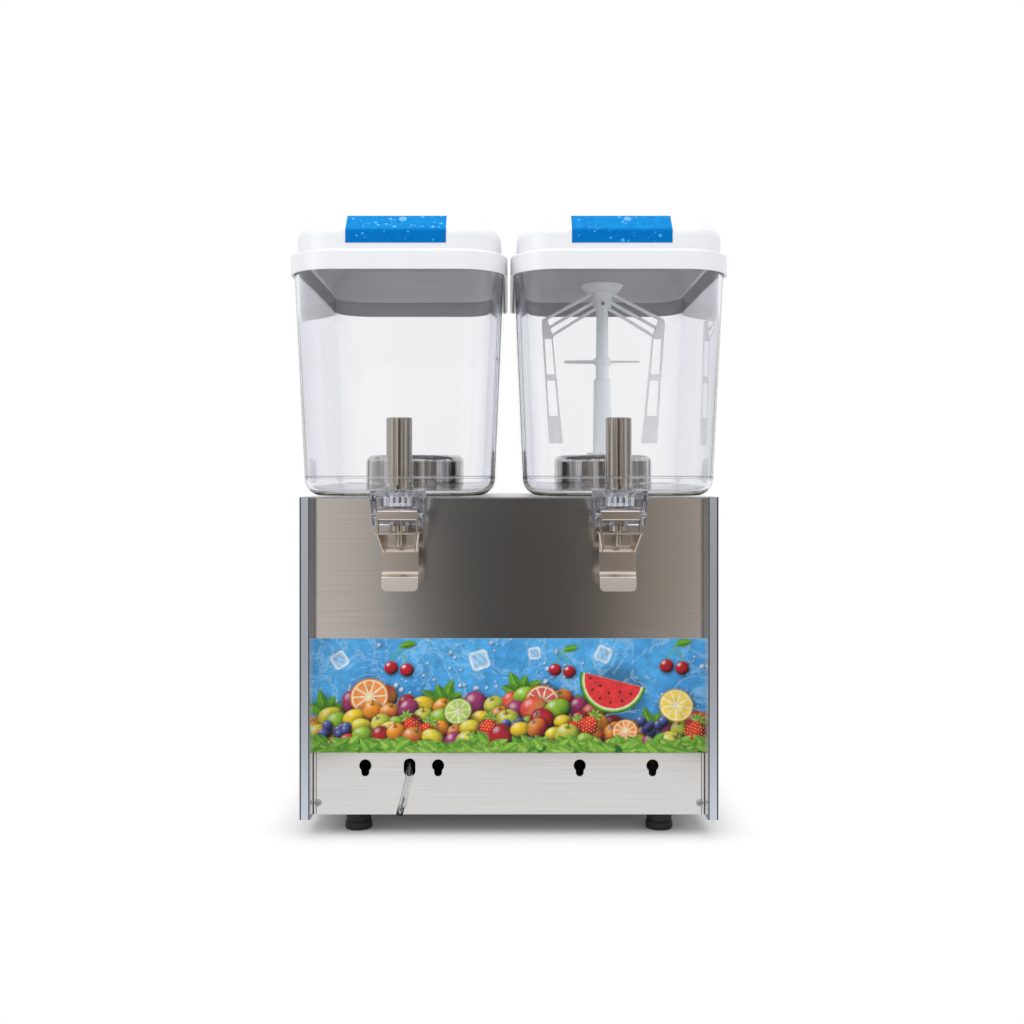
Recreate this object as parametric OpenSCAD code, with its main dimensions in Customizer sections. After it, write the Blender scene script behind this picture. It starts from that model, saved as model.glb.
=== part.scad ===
// Twin-tank chilled juice dispenser: a steel cabinet with two clear lift-off tanks,
// push-lever taps and a paddle stirrer. Millimetres, +Z up, front towards -Y.

/* [Cabinet] */
// Width of the cabinet over its side panels
cabinet_w = 420; // [400:1:460]
// Depth of the cabinet from the post fronts to its rear edge
cabinet_d = 328; // [322:1:380]
// Height of the cabinet without its feet
cabinet_h = 323; // [310:1:380]
// Thickness of the sheet metal
sheet_t = 1.2; // [0.8:0.1:1.5]
// Width of a corner post's face
post_w = 11; // [8:0.5:14]
// Depth of a corner post, which is how far the front panels sit back
post_d = 20; // [14:0.5:24]
// Wall of a corner post
post_wall = 1.5; // [1:0.1:2]
// Height of the picture panel
picture_h = 116; // [100:1:125]
// Thickness of the picture panel
picture_t = 2; // [1:0.1:3]
// Height of the lower front panel
apron_h = 63; // [58:1:75]
// How far the rear panel sits in from the rear edge
rear_inset = 12; // [11:0.5:16]
// Folded edge of the panels
flange = 12; // [8:1:14]
// Folded top edge of the lower front panel
apron_flange = 8; // [5:0.5:9]
// Height of a foot
foot_h = 23; // [15:1:30]
// Diameter of a foot
foot_d = 28; // [20:1:36]
// Distance of the feet from the cabinet's sides
foot_inset_x = 53; // [40:1:70]
// Distance of the feet from the front and rear panels
foot_inset_y = 35; // [30:1:60]

/* [Tray keyholes] */
// Distance from the centre plane to the middle of a keyhole pair
tray_x = 109; // [100:1:112]
// Spacing of the two keyholes of a pair
keyhole_pitch = 74; // [60:1:76]
// Radius of a keyhole's round head
keyhole_r = 6; // [5:0.1:7]
// Half width of a keyhole's slot
keyhole_slot_r = 3.8; // [3:0.1:4]
// Drop from the head's centre to the slot's end centre
keyhole_drop = 7; // [6:0.1:9]
// Distance of the heads below the lower front panel's top edge
keyhole_below = 13; // [11:0.5:18]
// Distance of the drain hole from the centre plane
drain_x = 101; // [100:1:102]
// Half width of the drain hole
drain_r = 5.8; // [5:0.1:6]
// Length of the drain hole
drain_l = 18; // [16:0.5:20]

/* [Tanks] */
// Gap between the two lids
lids_apart = 3; // [1:0.5:10]
// Width of a tank at its rim
tank_w = 205; // [195:1:215]
// Depth of a tank at its rim
tank_d = 334; // [328:1:345]
// Height of a tank
tank_h = 230; // [225:1:250]
// How much each side draws in from rim to floor
tank_draft = 9.8; // [6:0.1:12]
// Corner radius at the rim
tank_corner = 44; // [38:1:50]
// Radius between walls and floor
tank_fillet = 16; // [12:1:18]
// Wall thickness
tank_wall = 4; // [3:0.1:5]
// How far the lids stand in front of the posts
overhang = 72; // [66:1:80]
// Distance of the tap axis behind the lid's front
tap_back = 45; // [42:1:48]
// Distance of the stirrer axis from the lid's back
dome_back = 92; // [88:1:96]

/* [Lids] */
// Wall thickness of a lid
lid_wall = 2.5; // [2:0.1:3]
// Gap between a lid's skirt and the rim
lid_gap = 0.5; // [0.3:0.1:0.6]
// How far the skirt reaches down over the rim
lid_overlap = 16; // [12:1:20]
// Width of the ledge round the crown
lid_ledge = 6; // [5:0.5:7]
// Height of the crown's upright face
crown_h = 19.5; // [17:0.5:24]
// Rise and run of the crown's sloping shoulder
shoulder = 17; // [12:1:20]
// Width of the front label
label_w = 95; // [80:1:110]
// Thickness of the front label
label_t = 0.4; // [0.3:0.1:0.6]

/* [Cold domes] */
// Radius of a dome
dome_r = 56.5; // [54:0.5:58]
// Height of a dome above the deck
dome_h = 45; // [40:1:48]
// Radius of the dome's top edge
dome_edge = 8; // [5:0.5:10]
// Thickness of the tank seal
seal_t = 2; // [1.5:0.1:3]
// Clearance between the dome, the seal and the tank
seal_gap = 0.3; // [0.2:0.05:0.4]

/* [Taps] */
// Outer radius of the valve piston
piston_r = 12.7; // [11:0.1:13]
// Height of the piston above the tank's inner floor
piston_h = 72; // [60:1:80]
// Wall of the piston tube
piston_wall = 1.5; // [1:0.1:2]
// Running gap round the valve
valve_gap = 0.6; // [0.4:0.05:0.8]
// Radius of the valve stem's collar
collar_r = 8.5; // [8:0.1:8.8]
// Radius of the nozzle
nozzle_r = 3.7; // [3.4:0.1:4]
// Radius of the bore through the stem
nozzle_bore = 2.6; // [2:0.1:2.8]
// Width of the spout block at the tank's floor
spout_w = 54; // [52:1:58]
// Width of the spout block at its lower end
spout_low_w = 47; // [46:0.5:50]
// Height of the spout block below the tank
spout_h = 29; // [29:0.5:32]
// Radius of the hinge pin
pin_r = 2.5; // [2:0.1:2.6]
// Running clearance of the hinge pin
pin_gap = 0.05; // [0.03:0.01:0.1]
// Thickness of the lever's sheet
lever_t = 1.5; // [1.2:0.1:1.8]
// Width of the lever's push plate
lever_w = 36; // [32:1:38]

/* [Stirrer] */
// Reach of the paddles from the axis
paddle_reach = 72; // [66:1:76]
// Thickness of the paddles
paddle_t = 4; // [3:0.5:5]
// Radius of the drive shaft
shaft_r = 4; // [3:0.1:4.5]
// Radius of the stand tube at its foot
stand_r = 10.8; // [9:0.1:12]
// Height of the stand tube above the dome
stand_h = 87; // [80:1:90]
// Span of the small propeller
propeller_d = 87; // [70:1:95]

/* [Hidden] */
$fn = 64;
hull_fn = 32;
eps = 0.02;
gap = 0.3;
rubber = [0.09, 0.09, 0.1];
steel = [0.72, 0.71, 0.7];
post_grey = [0.62, 0.64, 0.67];
zinc = [0.6, 0.62, 0.63];
clear = [0.86, 0.9, 0.94, 0.35];
white = [0.93, 0.94, 0.96];
natural = [0.86, 0.86, 0.87];
copper = [0.72, 0.42, 0.26];
black = [0.06, 0.06, 0.07];
blue = [0.05, 0.5, 0.85];

// Heights and depths of the main faces
deck_z = foot_h + cabinet_h;
lid_fit = lid_gap + lid_wall;
lid_w = tank_w + 2 * lid_fit;
lid_d = tank_d + 2 * lid_fit;
overall_d = overhang + cabinet_d;
front_y = -overall_d / 2;
post_y = front_y + overhang;
panel_y = post_y + post_d;
back_y = front_y + overall_d;
rear_y = back_y - rear_inset;
post_end = panel_y + flange;
inner_w = cabinet_w - 2 * post_w;
apron_top = foot_h + apron_h;
picture_top = apron_top + picture_h;
tank_pitch = lid_w + lids_apart;
tank_x = tank_pitch / 2;
tank_y = front_y + lid_d / 2;
tank_z = deck_z + seal_t;
rim_z = tank_z + tank_h;
floor_z = tank_z + tank_wall;
tap_y = front_y + tap_back;
dome_y = front_y + lid_d - dome_back;
dome_top = deck_z + dome_h;
keyhole_z = apron_top - keyhole_below;
lid_corner = tank_corner + lid_fit;

// Tap heights, all below the tank's floor
seat_drop = 10;
pivot_drop = 18.6;
pivot_ahead = 20;
shelf_drop = 6.5;
nozzle_l = 13.5;
plate_drop = 39.5;
lip_drop = 58.5;
spout_ahead = 27;
spout_behind = 22;
spout_z = tank_z - spout_h;
seat_z = tank_z - seat_drop;
pivot_z = tank_z - pivot_drop;
pivot_y = tap_y - pivot_ahead;
shelf_z = spout_z - shelf_drop;
nozzle_z = shelf_z - nozzle_l;
plate_z = shelf_z - plate_drop;
lip_z = shelf_z - lip_drop;
spout_front = tap_y - spout_ahead;
spout_back = tap_y + spout_behind;
bore_r = piston_r + valve_gap;
outlet_r = collar_r + valve_gap;
knuckle_r = 6.2;
knuckle_room = 1.5;
cheek_gap = 20;
seal_ring_h = 3;
collar_top = seat_z + seal_ring_h;

// Stirrer heights
hub_h = 9;
neck_h = 18;
hub_cover = 7;
paddle_drop = 33;
paddle_clear = 14;
motor_drop = 60;
hub_top = rim_z + hub_h;
hub_z = rim_z - neck_h;
shaft_top = hub_top - hub_cover;
stand_z = dome_top + stand_h;
paddle_top = rim_z - paddle_drop;
paddle_z = dome_top + paddle_clear;
motor_z = deck_z - motor_drop;

// Cooling unit
pan_top = foot_h + sheet_t;
fan_r = 78;
fan_rise = 100;
fan_ahead = 34;
condenser_l = 190;
condenser_h = 180;
condenser_w = 40;
condenser_inset = 62;
drier_clear = 9;
drier_l = 32;
drier_neck = 12;
drier_r = 9;
compressor_inset = 110;
compressor_r = 66;
compressor_h = 130;
mount_h = 14;
pipe_r = 4;
pipe_port = 20;
pipe_rise = 24;
pipe_room = 14;
suction_drop = 30;
condenser_x = cabinet_w / 2 - condenser_inset;
condenser_y = panel_y + drier_clear + drier_l + drier_neck;
fan_x = condenser_x - fan_ahead;
fan_y = condenser_y + condenser_l / 2;
fan_z = pan_top + fan_rise;
compressor_x = -cabinet_w / 2 + compressor_inset;
compressor_y = rear_y - compressor_inset;
compressor_z = pan_top + mount_h;

// Rear and side fittings
side_x = cabinet_w / 2;
switch_back = 70;
switch_drop = 70;
switch_pitch = 30;
rocker_tilt = 8;
knob_inset = 60;
knob_drop = 60;
gland_inset = 50;
gland_rise = 30;
switch_y = post_y + switch_back;
switch_z = deck_z - switch_drop;
knob_x = -side_x + knob_inset;
knob_z = deck_z - knob_drop;
gland_x = side_x - gland_inset;
gland_z = pan_top + gland_rise;
gland_bore = 4.5;
gland_r = 8;
screw_r = 1.9;
screw_head_r = 3.6;
screw_head_h = 1.8;
screw_l = 8;
rear_screw_inset = 25;
apron_screw_inset = 5;
apron_screw_rise = 12;
rear_screws = [
  for (x = [-1, 0, 1], z = [foot_h + flange / 2, deck_z - flange / 2]) [x * (side_x - rear_screw_inset), z]
];
apron_screws = [for (x = [-1, 1]) [x * (inner_w / 2 - apron_screw_inset), foot_h + apron_screw_rise]];

// Drain hose, from the deck's drain to the end that hangs out of the front
hose_d = 7;
hose_back = 34;
spigot_l = 18;
hose_x = -drain_x;
hose_y = panel_y + hose_back;
hose_start_z = deck_z - spigot_l;
hose_points = [
  [hose_x, hose_y, hose_start_z], [hose_x, hose_y, hose_start_z - 20],
  [hose_x, hose_y, hose_start_z - 40], [hose_x, hose_y, hose_start_z - 60],
  [hose_x, hose_y, hose_start_z - 80], [hose_x, hose_y, hose_start_z - 100],
  [hose_x, hose_y, hose_start_z - 120], [hose_x, hose_y, hose_start_z - 140],
  [hose_x, hose_y, keyhole_z + 95], [hose_x, hose_y, keyhole_z + 75],
  [hose_x, hose_y, keyhole_z + 55], [hose_x, panel_y + 33, keyhole_z + 43],
  [hose_x, panel_y + 30, keyhole_z + 32], [hose_x, panel_y + 25, keyhole_z + 22],
  [hose_x, panel_y + 17, keyhole_z + 13], [hose_x, panel_y + 8, keyhole_z + 4],
  [hose_x, panel_y, keyhole_z - 4], [hose_x - 1, panel_y - 7, keyhole_z - 13],
  [hose_x - 3, panel_y - 12, keyhole_z - 23], [hose_x - 6, panel_y - 15, keyhole_z - 34],
  [hose_x - 9, panel_y - 17, keyhole_z - 46]
];

// Shared shapes

// A box from one corner to the opposite one
module span(low, high) {
  translate(low) cube(high - low);
}

// A rod between two points, with a round end at each when asked
module rod(from, to, r) {
  v = to - from;
  h = norm(v);
  translate(from) rotate([0, acos(v[2] / h), atan2(v[1], v[0])]) cylinder(r = r, h = h);
}

// A pipe through a list of points, with a slightly larger ball elbow at each corner
elbow = 0.5;
module pipe(points, r) {
  for (i = [0:len(points) - 2]) rod(points[i], points[i + 1], r);
  for (i = [1:1:len(points) - 2]) translate(points[i]) sphere(r = r + elbow);
}

// The four corner centres of a rounded rectangle
function corner_centres(w, d, r) = [for (x = [-1, 1], y = [-1, 1]) [x * (w / 2 - r), y * (d / 2 - r)]];

// A rounded block whose sides lean out from r_low to r_high about fixed corner centres
module rounded_block(w, d, h, r_low, r_high) {
  hull() for (c = corner_centres(w, d, r_high))
    translate([c[0], c[1], 0]) cylinder(r1 = r_low, r2 = r_high, h = h, $fn = hull_fn);
}

// A sheet of even thickness along a list of points in a plane
function unit(v) = v / norm(v);
function normal_at(p, i) = let(
    a = i == 0 ? unit(p[1] - p[0]) : unit(p[i] - p[i - 1]),
    b = i == len(p) - 1 ? a : unit(p[i + 1] - p[i]),
    m = unit(a + b)
  ) [-m[1], m[0]] / (m * a);
function strip(p, t) = concat(
    [for (i = [0:len(p) - 1]) p[i] + normal_at(p, i) * t / 2],
    [for (i = [len(p) - 1:-1:0]) p[i] - normal_at(p, i) * t / 2]
  );

// A bar in a plane between two points
module bar(from, to, w) {
  polygon(strip([from, to], w));
}

// A plane figure drawn in Y and Z, given thickness along X about the middle
module across(w) {
  rotate([90, 0, 90]) translate([0, 0, -w / 2]) linear_extrude(height = w) children();
}

// A tube swept through points, as one solid of flat faces
function path_dir(p, i) = unit(p[min(i + 1, len(p) - 1)] - p[max(i - 1, 0)]);
function ring(p, i, r, n) = let(
    d = path_dir(p, i),
    u = unit(cross(d, [1, 0, 0])),
    v = cross(d, u)
  ) [for (k = [0:n - 1]) p[i] + r * (u * cos(360 * k / n) + v * sin(360 * k / n))];
module swept_tube(p, r, n) {
  rings = len(p);
  points = [for (i = [0:rings - 1]) each ring(p, i, r, n)];
  sides = [for (i = [0:rings - 2], k = [0:n - 1]) let(a = i * n + k, b = i * n + (k + 1) % n)
      each [[a, a + n, b], [b, a + n, b + n]]];
  start = [for (k = [1:n - 2]) [0, k, k + 1]];
  end = [for (k = [1:n - 2]) let(s = (rings - 1) * n) [s, s + k + 1, s + k]];
  polyhedron(points = points, faces = concat(sides, start, end));
}

// A pan-head screw along -Y whose head seats on the plane y = 0
module screw() {
  rotate([90, 0, 0]) {
    cylinder(r = screw_head_r, h = screw_head_h);
    translate([0, 0, -screw_l]) cylinder(r = screw_r, h = screw_l + eps);
  }
}

// Cabinet

module base_pan() {
  color(zinc) difference() {
    union() {
      span([-side_x + sheet_t, post_end, foot_h], [side_x - sheet_t, rear_y - sheet_t, pan_top]);
      span([-inner_w / 2, panel_y + sheet_t, foot_h], [inner_w / 2, post_end + eps, pan_top]);
      for (x = [-1, 1]) span(
        [x * (side_x - 1.5 * sheet_t) - sheet_t / 2, post_end, foot_h],
        [x * (side_x - 1.5 * sheet_t) + sheet_t / 2, rear_y - sheet_t, foot_h + flange]);
      span(
        [-side_x + sheet_t, rear_y - 2 * sheet_t, foot_h],
        [side_x - sheet_t, rear_y - sheet_t, foot_h + flange]);
    }
    for (p = rear_screws) translate([p[0], rear_y, p[1]]) rotate([90, 0, 0])
      cylinder(r = screw_r + gap, h = 4 * sheet_t + eps, center = true);
  }
}

foot_edge = 1.5;
foot_taper = 1;
foot_crown = 2;
module feet() {
  color(rubber) for (x = [-1, 1], y = [panel_y + foot_inset_y, rear_y - foot_inset_y])
    translate([x * (side_x - foot_inset_x), y, 0]) rotate_extrude() polygon([
      [0, 0], [foot_d / 2 - foot_edge, 0], [foot_d / 2, foot_edge],
      [foot_d / 2 - foot_taper, foot_h - foot_crown],
      [foot_d / 2 - foot_taper - foot_crown, foot_h], [0, foot_h]
    ]);
}

// A folded post: its face, its inner return and its outer side
module corner_post(side) {
  color(post_grey) translate([side * (side_x - post_w / 2), 0, foot_h]) mirror([side < 0 ? 1 : 0, 0, 0])
    linear_extrude(height = cabinet_h) difference() {
      translate([-post_w / 2, post_y]) square([post_w, post_d + flange]);
      translate([-post_w / 2 + post_wall, post_y + post_wall])
        square([post_w - 2 * post_wall, post_d + flange]);
      translate([post_w / 2 - post_wall - eps, panel_y]) square([post_wall + 2 * eps, flange + 1]);
    }
}

louvre_l = 90;
louvre_w = 3.6;
louvre_pitch = 11;
louvre_n = 12;
louvre_gap = 16;
louvre_mid = (louvre_l + louvre_gap) / 2;
module louvres(y) {
  for (i = [0:louvre_n - 1]) translate([0, y, fan_z - (louvre_n - 1) * louvre_pitch / 2 + i * louvre_pitch])
    cube([8 * sheet_t, louvre_l, louvre_w], center = true);
}

module side_panel(side) {
  color(steel) difference() {
    union() {
      translate([side * (side_x - sheet_t / 2), (panel_y + back_y) / 2, foot_h + cabinet_h / 2])
        cube([sheet_t, back_y - panel_y, cabinet_h], center = true);
      translate([side * (side_x - flange / 2), back_y - sheet_t / 2, foot_h + cabinet_h / 2])
        cube([flange, sheet_t, cabinet_h], center = true);
    }
    for (y = [-1, 1]) translate([side * side_x, 0, 0]) louvres(fan_y + y * louvre_mid);
    if (side > 0) for (i = [-1, 1]) translate([side * side_x, switch_y, switch_z + i * switch_pitch / 2])
      cube([8 * sheet_t, switch_w, switch_h], center = true);
  }
}

module front_panel() {
  color(steel) union() {
    span([-inner_w / 2, panel_y, picture_top], [inner_w / 2, panel_y + sheet_t, deck_z - sheet_t]);
    span([-inner_w / 2, panel_y, picture_top], [inner_w / 2, panel_y + flange, picture_top + sheet_t]);
    for (x = [-1, 1]) span(
      [x * (inner_w / 2 - sheet_t / 2) - sheet_t / 2, panel_y, picture_top],
      [x * (inner_w / 2 - sheet_t / 2) + sheet_t / 2, panel_y + flange, deck_z - sheet_t]);
  }
}

module picture_panel() {
  color(blue) span([-inner_w / 2, panel_y, apron_top], [inner_w / 2, panel_y + picture_t, picture_top]);
}

// A keyhole through a sheet that lies in the plane y = 0
module keyhole() {
  rotate([90, 0, 0]) {
    cylinder(r = keyhole_r, h = 4 * sheet_t, center = true);
    translate([0, -keyhole_drop, 0]) cylinder(r = keyhole_slot_r, h = 4 * sheet_t, center = true);
  }
  translate([0, 0, -keyhole_drop / 2]) cube([2 * keyhole_slot_r, 4 * sheet_t, keyhole_drop], center = true);
}

drain_drop = 2;
module lower_front_panel() {
  color(steel) difference() {
    union() {
      span([-inner_w / 2, panel_y, foot_h], [inner_w / 2, panel_y + sheet_t, apron_top]);
      span([-inner_w / 2, panel_y, apron_top - sheet_t], [inner_w / 2, panel_y + apron_flange, apron_top]);
    }
    for (side = [-1, 1], i = [-1, 1])
      translate([side * tray_x + i * keyhole_pitch / 2, panel_y, keyhole_z]) keyhole();
    translate([-drain_x, panel_y, keyhole_z - drain_drop]) rotate([90, 0, 0]) {
      for (i = [-1, 1]) translate([0, i * (drain_l / 2 - drain_r), 0])
        cylinder(r = drain_r, h = 4 * sheet_t, center = true);
      cube([2 * drain_r, drain_l - 2 * drain_r, 4 * sheet_t], center = true);
    }
    for (p = apron_screws) translate([p[0], panel_y, p[1]]) rotate([90, 0, 0])
      cylinder(r = screw_r + gap, h = 4 * sheet_t, center = true);
  }
}

module rear_panel() {
  color(steel) difference() {
    span([-side_x + sheet_t, rear_y - sheet_t, foot_h], [side_x - sheet_t, rear_y, deck_z - sheet_t]);
    for (p = rear_screws) translate([p[0], rear_y, p[1]]) rotate([90, 0, 0])
      cylinder(r = screw_r + gap, h = 4 * sheet_t, center = true);
    translate([0, rear_y, 0]) rotate([0, 0, 90]) for (y = [-1, 1]) louvres(y * louvre_mid);
    translate([knob_x, rear_y, knob_z]) rotate([90, 0, 0])
      cylinder(r = knob_shaft_r + knob_room, h = 4 * sheet_t, center = true);
    translate([gland_x, rear_y, gland_z]) rotate([90, 0, 0])
      cylinder(r = gland_r, h = 4 * sheet_t, center = true);
  }
}

module deck_plate() {
  color(steel) difference() {
    union() {
      span([-side_x + sheet_t, post_end, deck_z - sheet_t], [side_x - sheet_t, rear_y, deck_z]);
      span([-inner_w / 2, panel_y, deck_z - sheet_t], [inner_w / 2, post_end + eps, deck_z]);
      span(
        [-side_x + sheet_t, rear_y - 2 * sheet_t, deck_z - flange],
        [side_x - sheet_t, rear_y - sheet_t, deck_z]);
    }
    for (p = rear_screws) translate([p[0], rear_y, p[1]]) rotate([90, 0, 0])
      cylinder(r = screw_r + gap, h = 4 * sheet_t + eps, center = true);
    for (side = [-1, 1]) translate([side * tank_x, dome_y, deck_z])
      cylinder(r = dome_r + seal_gap, h = 4 * sheet_t, center = true);
    translate([hose_x, hose_y, deck_z]) cylinder(r = spigot_r + gap, h = 4 * sheet_t, center = true);
  }
}

module panel_screws() {
  color(steel) {
    for (p = apron_screws) translate([p[0], panel_y, p[1]]) screw();
    for (p = rear_screws) translate([p[0], rear_y, p[1]]) rotate([0, 0, 180]) screw();
  }
}

// Cold domes and stirrer drive

// A pressed cup with a rolled top edge, welded under the deck by its flange
module cold_dome(side) {
  foot = deck_z - sheet_t;
  r = dome_r;
  t = sheet_t;
  color(steel) translate([side * tank_x, dome_y, 0]) difference() {
    rotate_extrude() difference() {
      union() {
        translate([0, foot - t]) square([r + flange, t]);
        translate([0, foot - t]) square([r, dome_h + 2 * t - dome_edge]);
        translate([0, foot - t]) square([r - dome_edge, dome_h + 2 * t]);
        translate([r - dome_edge, dome_top - dome_edge]) circle(r = dome_edge);
      }
      translate([0, foot - 2 * t]) square([r - t, dome_h + 2 * t - dome_edge]);
      translate([0, foot - 2 * t]) square([r - dome_edge, dome_h + 2 * t]);
      translate([r - dome_edge, dome_top - dome_edge]) circle(r = dome_edge - t);
      translate([-2 * r, foot - 3 * t]) square([2 * r, dome_h + 6 * t]);
    }
    if (side > 0) translate([0, 0, dome_top]) cylinder(r = shaft_r + shaft_room, h = 4 * t, center = true);
  }
}

// A ring with an upstand that centres the tank's hole on the dome
module tank_seal(side) {
  color(natural) translate([side * tank_x, dome_y, deck_z]) rotate_extrude() polygon([
    [dome_r + seal_gap, 0], [dome_r + flange, 0], [dome_r + flange, seal_t],
    [dome_r + seal_gap + seal_lip, seal_t], [dome_r + seal_gap + seal_lip, seal_t + tank_wall],
    [dome_r + seal_gap, seal_t + tank_wall]
  ]);
}
seal_lip = 1.5;
tank_hole_r = dome_r + 2 * seal_gap + seal_lip;

// The cooling sleeve that lies against the dome's inner wall
module evaporator(side) {
  color(copper) translate([side * tank_x, dome_y, deck_z - 2 * sheet_t]) difference() {
    cylinder(r = dome_r - sheet_t - gap, h = dome_h - dome_edge);
    translate([0, 0, -1]) cylinder(r = dome_r - sheet_t - gap - 2 * pipe_r, h = dome_h);
  }
}

shaft_room = 2;
stand_foot = 6.5;
stand_foot_h = 3;
stand_taper = 1.3;
bush_wall = 2.5;
bush_r = shaft_r + bush_wall;
bush_h = 12;
module stand_tube() {
  color(natural) translate([tank_x, dome_y, dome_top]) difference() {
    union() {
      cylinder(r = stand_r + stand_foot, h = stand_foot_h);
      cylinder(r1 = stand_r, r2 = stand_r - stand_taper, h = stand_h);
    }
    translate([0, 0, -1]) cylinder(r = shaft_r + shaft_room, h = stand_h);
    translate([0, 0, stand_h - bush_h]) cylinder(r = bush_r + pin_gap, h = bush_h + 1);
  }
}

module stand_tube_bush() {
  color("goldenrod") translate([tank_x, dome_y, stand_z - bush_h]) difference() {
    cylinder(r = bush_r, h = bush_h);
    translate([0, 0, -1]) cylinder(r = shaft_r + pin_gap, h = bush_h + 2);
  }
}

gearbox_w = 60;
gearbox_h = 24;
motor_r = 28;
motor_l = 46;
motor_boss_r = 10;
motor_boss_h = 30;
motor_floor = 6;
module stirrer_motor() {
  color(zinc) translate([tank_x, dome_y, motor_z]) difference() {
    union() {
      translate([-gearbox_w / 2, -gearbox_w / 2, 0]) cube([gearbox_w, gearbox_w, gearbox_h]);
      translate([0, 0, -motor_l]) cylinder(r = motor_r, h = motor_l + eps);
      cylinder(r = motor_boss_r, h = motor_boss_h);
    }
    translate([0, 0, motor_floor]) cylinder(r = shaft_r + pin_gap, h = motor_boss_h);
  }
}

// A plate hung under the deck on four standoffs, which carries the motor
bracket_side = 6;
bracket_d = 80;
bracket_t = 2;
standoff_r = 4;
standoff_x = 5;
standoff_y = 8;
module stirrer_bracket() {
  low = motor_z + gearbox_h;
  top = low + bracket_t;
  reach = dome_r + flange + bracket_side;
  color(zinc) translate([tank_x, dome_y, 0]) {
    difference() {
      translate([-reach, -bracket_d / 2, low]) cube([2 * reach, bracket_d, bracket_t]);
      translate([0, 0, low]) cylinder(r = motor_boss_r + gap, h = 5 * bracket_t, center = true);
    }
    for (x = [-1, 1], y = [-1, 1])
      translate([x * (reach - standoff_x), y * (bracket_d / 2 - standoff_y), top - eps])
        cylinder(r = standoff_r, h = deck_z - sheet_t - top + eps);
  }
}

module drive_shaft() {
  color(steel) translate([tank_x, dome_y, 0]) difference() {
    translate([0, 0, motor_z + motor_floor]) cylinder(r = shaft_r, h = shaft_top - motor_z - motor_floor);
    translate([-10, shaft_r - shaft_flat, shaft_top - shaft_flat_l]) cube([20, 10, shaft_flat_l + 1]);
  }
}
shaft_flat = 1;
shaft_flat_l = 25;

// One half of the paddle frame, drawn in its own plane from the axis outwards
rib_w = 3.4;
paddle_top_w = 14.5;
paddle_low_in = 27;
paddle_low_out = 9;
module paddle_half() {
  r = paddle_reach;
  top = paddle_top;
  low = paddle_z;
  in_top = r - paddle_top_w;
  in_low = r - paddle_low_in;
  out_low = r - paddle_low_out;
  h = top - low;
  bar([rib_w, hub_top - 2 * rib_w], [r - rib_w / 2, top], rib_w);
  bar([rib_w, hub_top - 5 * rib_w], [r - 2.5 * rib_w, top - 2.5 * rib_w], rib_w);
  bar([rib_w, hub_z + rib_w / 2], [in_top + rib_w / 3, top - 5 * rib_w], rib_w);
  difference() {
    polygon([
      [r - 2 * rib_w, top + rib_w], [r - rib_w / 3, top + rib_w / 3], [r, top - rib_w],
      [out_low, low], [in_low, low], [in_top, top - 5 * rib_w]
    ]);
    for (i = [0, 1]) let(
      z_high = top - 6 * rib_w - i * 0.34 * h,
      z_low = z_high - 0.29 * h,
      k_high = (z_high - low) / h,
      k_low = (z_low - low) / h
    ) polygon([
      [in_low + k_high * (in_top - in_low) + rib_w, z_high],
      [out_low + k_high * (r - out_low) - 0.75 * rib_w, z_high],
      [out_low + k_low * (r - out_low) - 0.75 * rib_w, z_low],
      [in_low + k_low * (in_top - in_low) + rib_w, z_low]
    ]);
  }
}

// Hub, sleeve, propeller and paddle frame, turned as one
hub_r = 24;
hub_low_r = 19;
neck_r = 10;
neck_top_r = 12;
sleeve_wall = 2.35;
sleeve_taper = 1;
propeller_rise = 16;
propeller_hub_r = 9.5;
propeller_hub_h = 8;
blade_w = 10;
blade_t = 2;
blade_turn = 14;
drip_hole_r = 2.2;
drip_hole_rise = 4;
module agitator() {
  sleeve_z = stand_z + gap;
  prop_z = sleeve_z + propeller_rise;
  bore = shaft_r + pin_gap;
  sleeve_r = bore + sleeve_wall;
  color(natural) translate([tank_x, dome_y, 0]) difference() {
    union() {
      translate([0, 0, hub_top - hub_h]) cylinder(r1 = hub_low_r, r2 = hub_r, h = hub_h);
      translate([0, 0, hub_z]) cylinder(r1 = neck_r, r2 = neck_top_r, h = hub_top - hub_h - hub_z + eps);
      translate([0, 0, sleeve_z])
        cylinder(r1 = sleeve_r + sleeve_taper, r2 = sleeve_r, h = hub_z - sleeve_z + eps);
      translate([0, 0, prop_z]) cylinder(r = propeller_hub_r, h = propeller_hub_h);
      for (side = [-1, 1]) translate([0, 0, prop_z + propeller_hub_h / 2])
        rotate([side * blade_turn, 0, 0]) rotate([0, 0, side > 0 ? 0 : 180])
          translate([0, -blade_w / 2, -blade_t / 2]) cube([propeller_d / 2, blade_w, blade_t]);
      for (m = [0, 1]) mirror([m, 0, 0]) rotate([90, 0, 0]) translate([0, 0, -paddle_t / 2])
        linear_extrude(height = paddle_t) paddle_half();
    }
    difference() {
      translate([0, 0, sleeve_z - 1]) cylinder(r = bore, h = shaft_top + gap - sleeve_z + 1);
      translate([-10, bore - shaft_flat, shaft_top - shaft_flat_l]) cube([20, 10, shaft_flat_l + 1]);
    }
    translate([0, -bore - sleeve_wall / 2, hub_z + drip_hole_rise]) rotate([90, 0, 0])
      cylinder(r = drip_hole_r, h = 2 * neck_top_r);
  }
}

// Cooling unit

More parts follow.
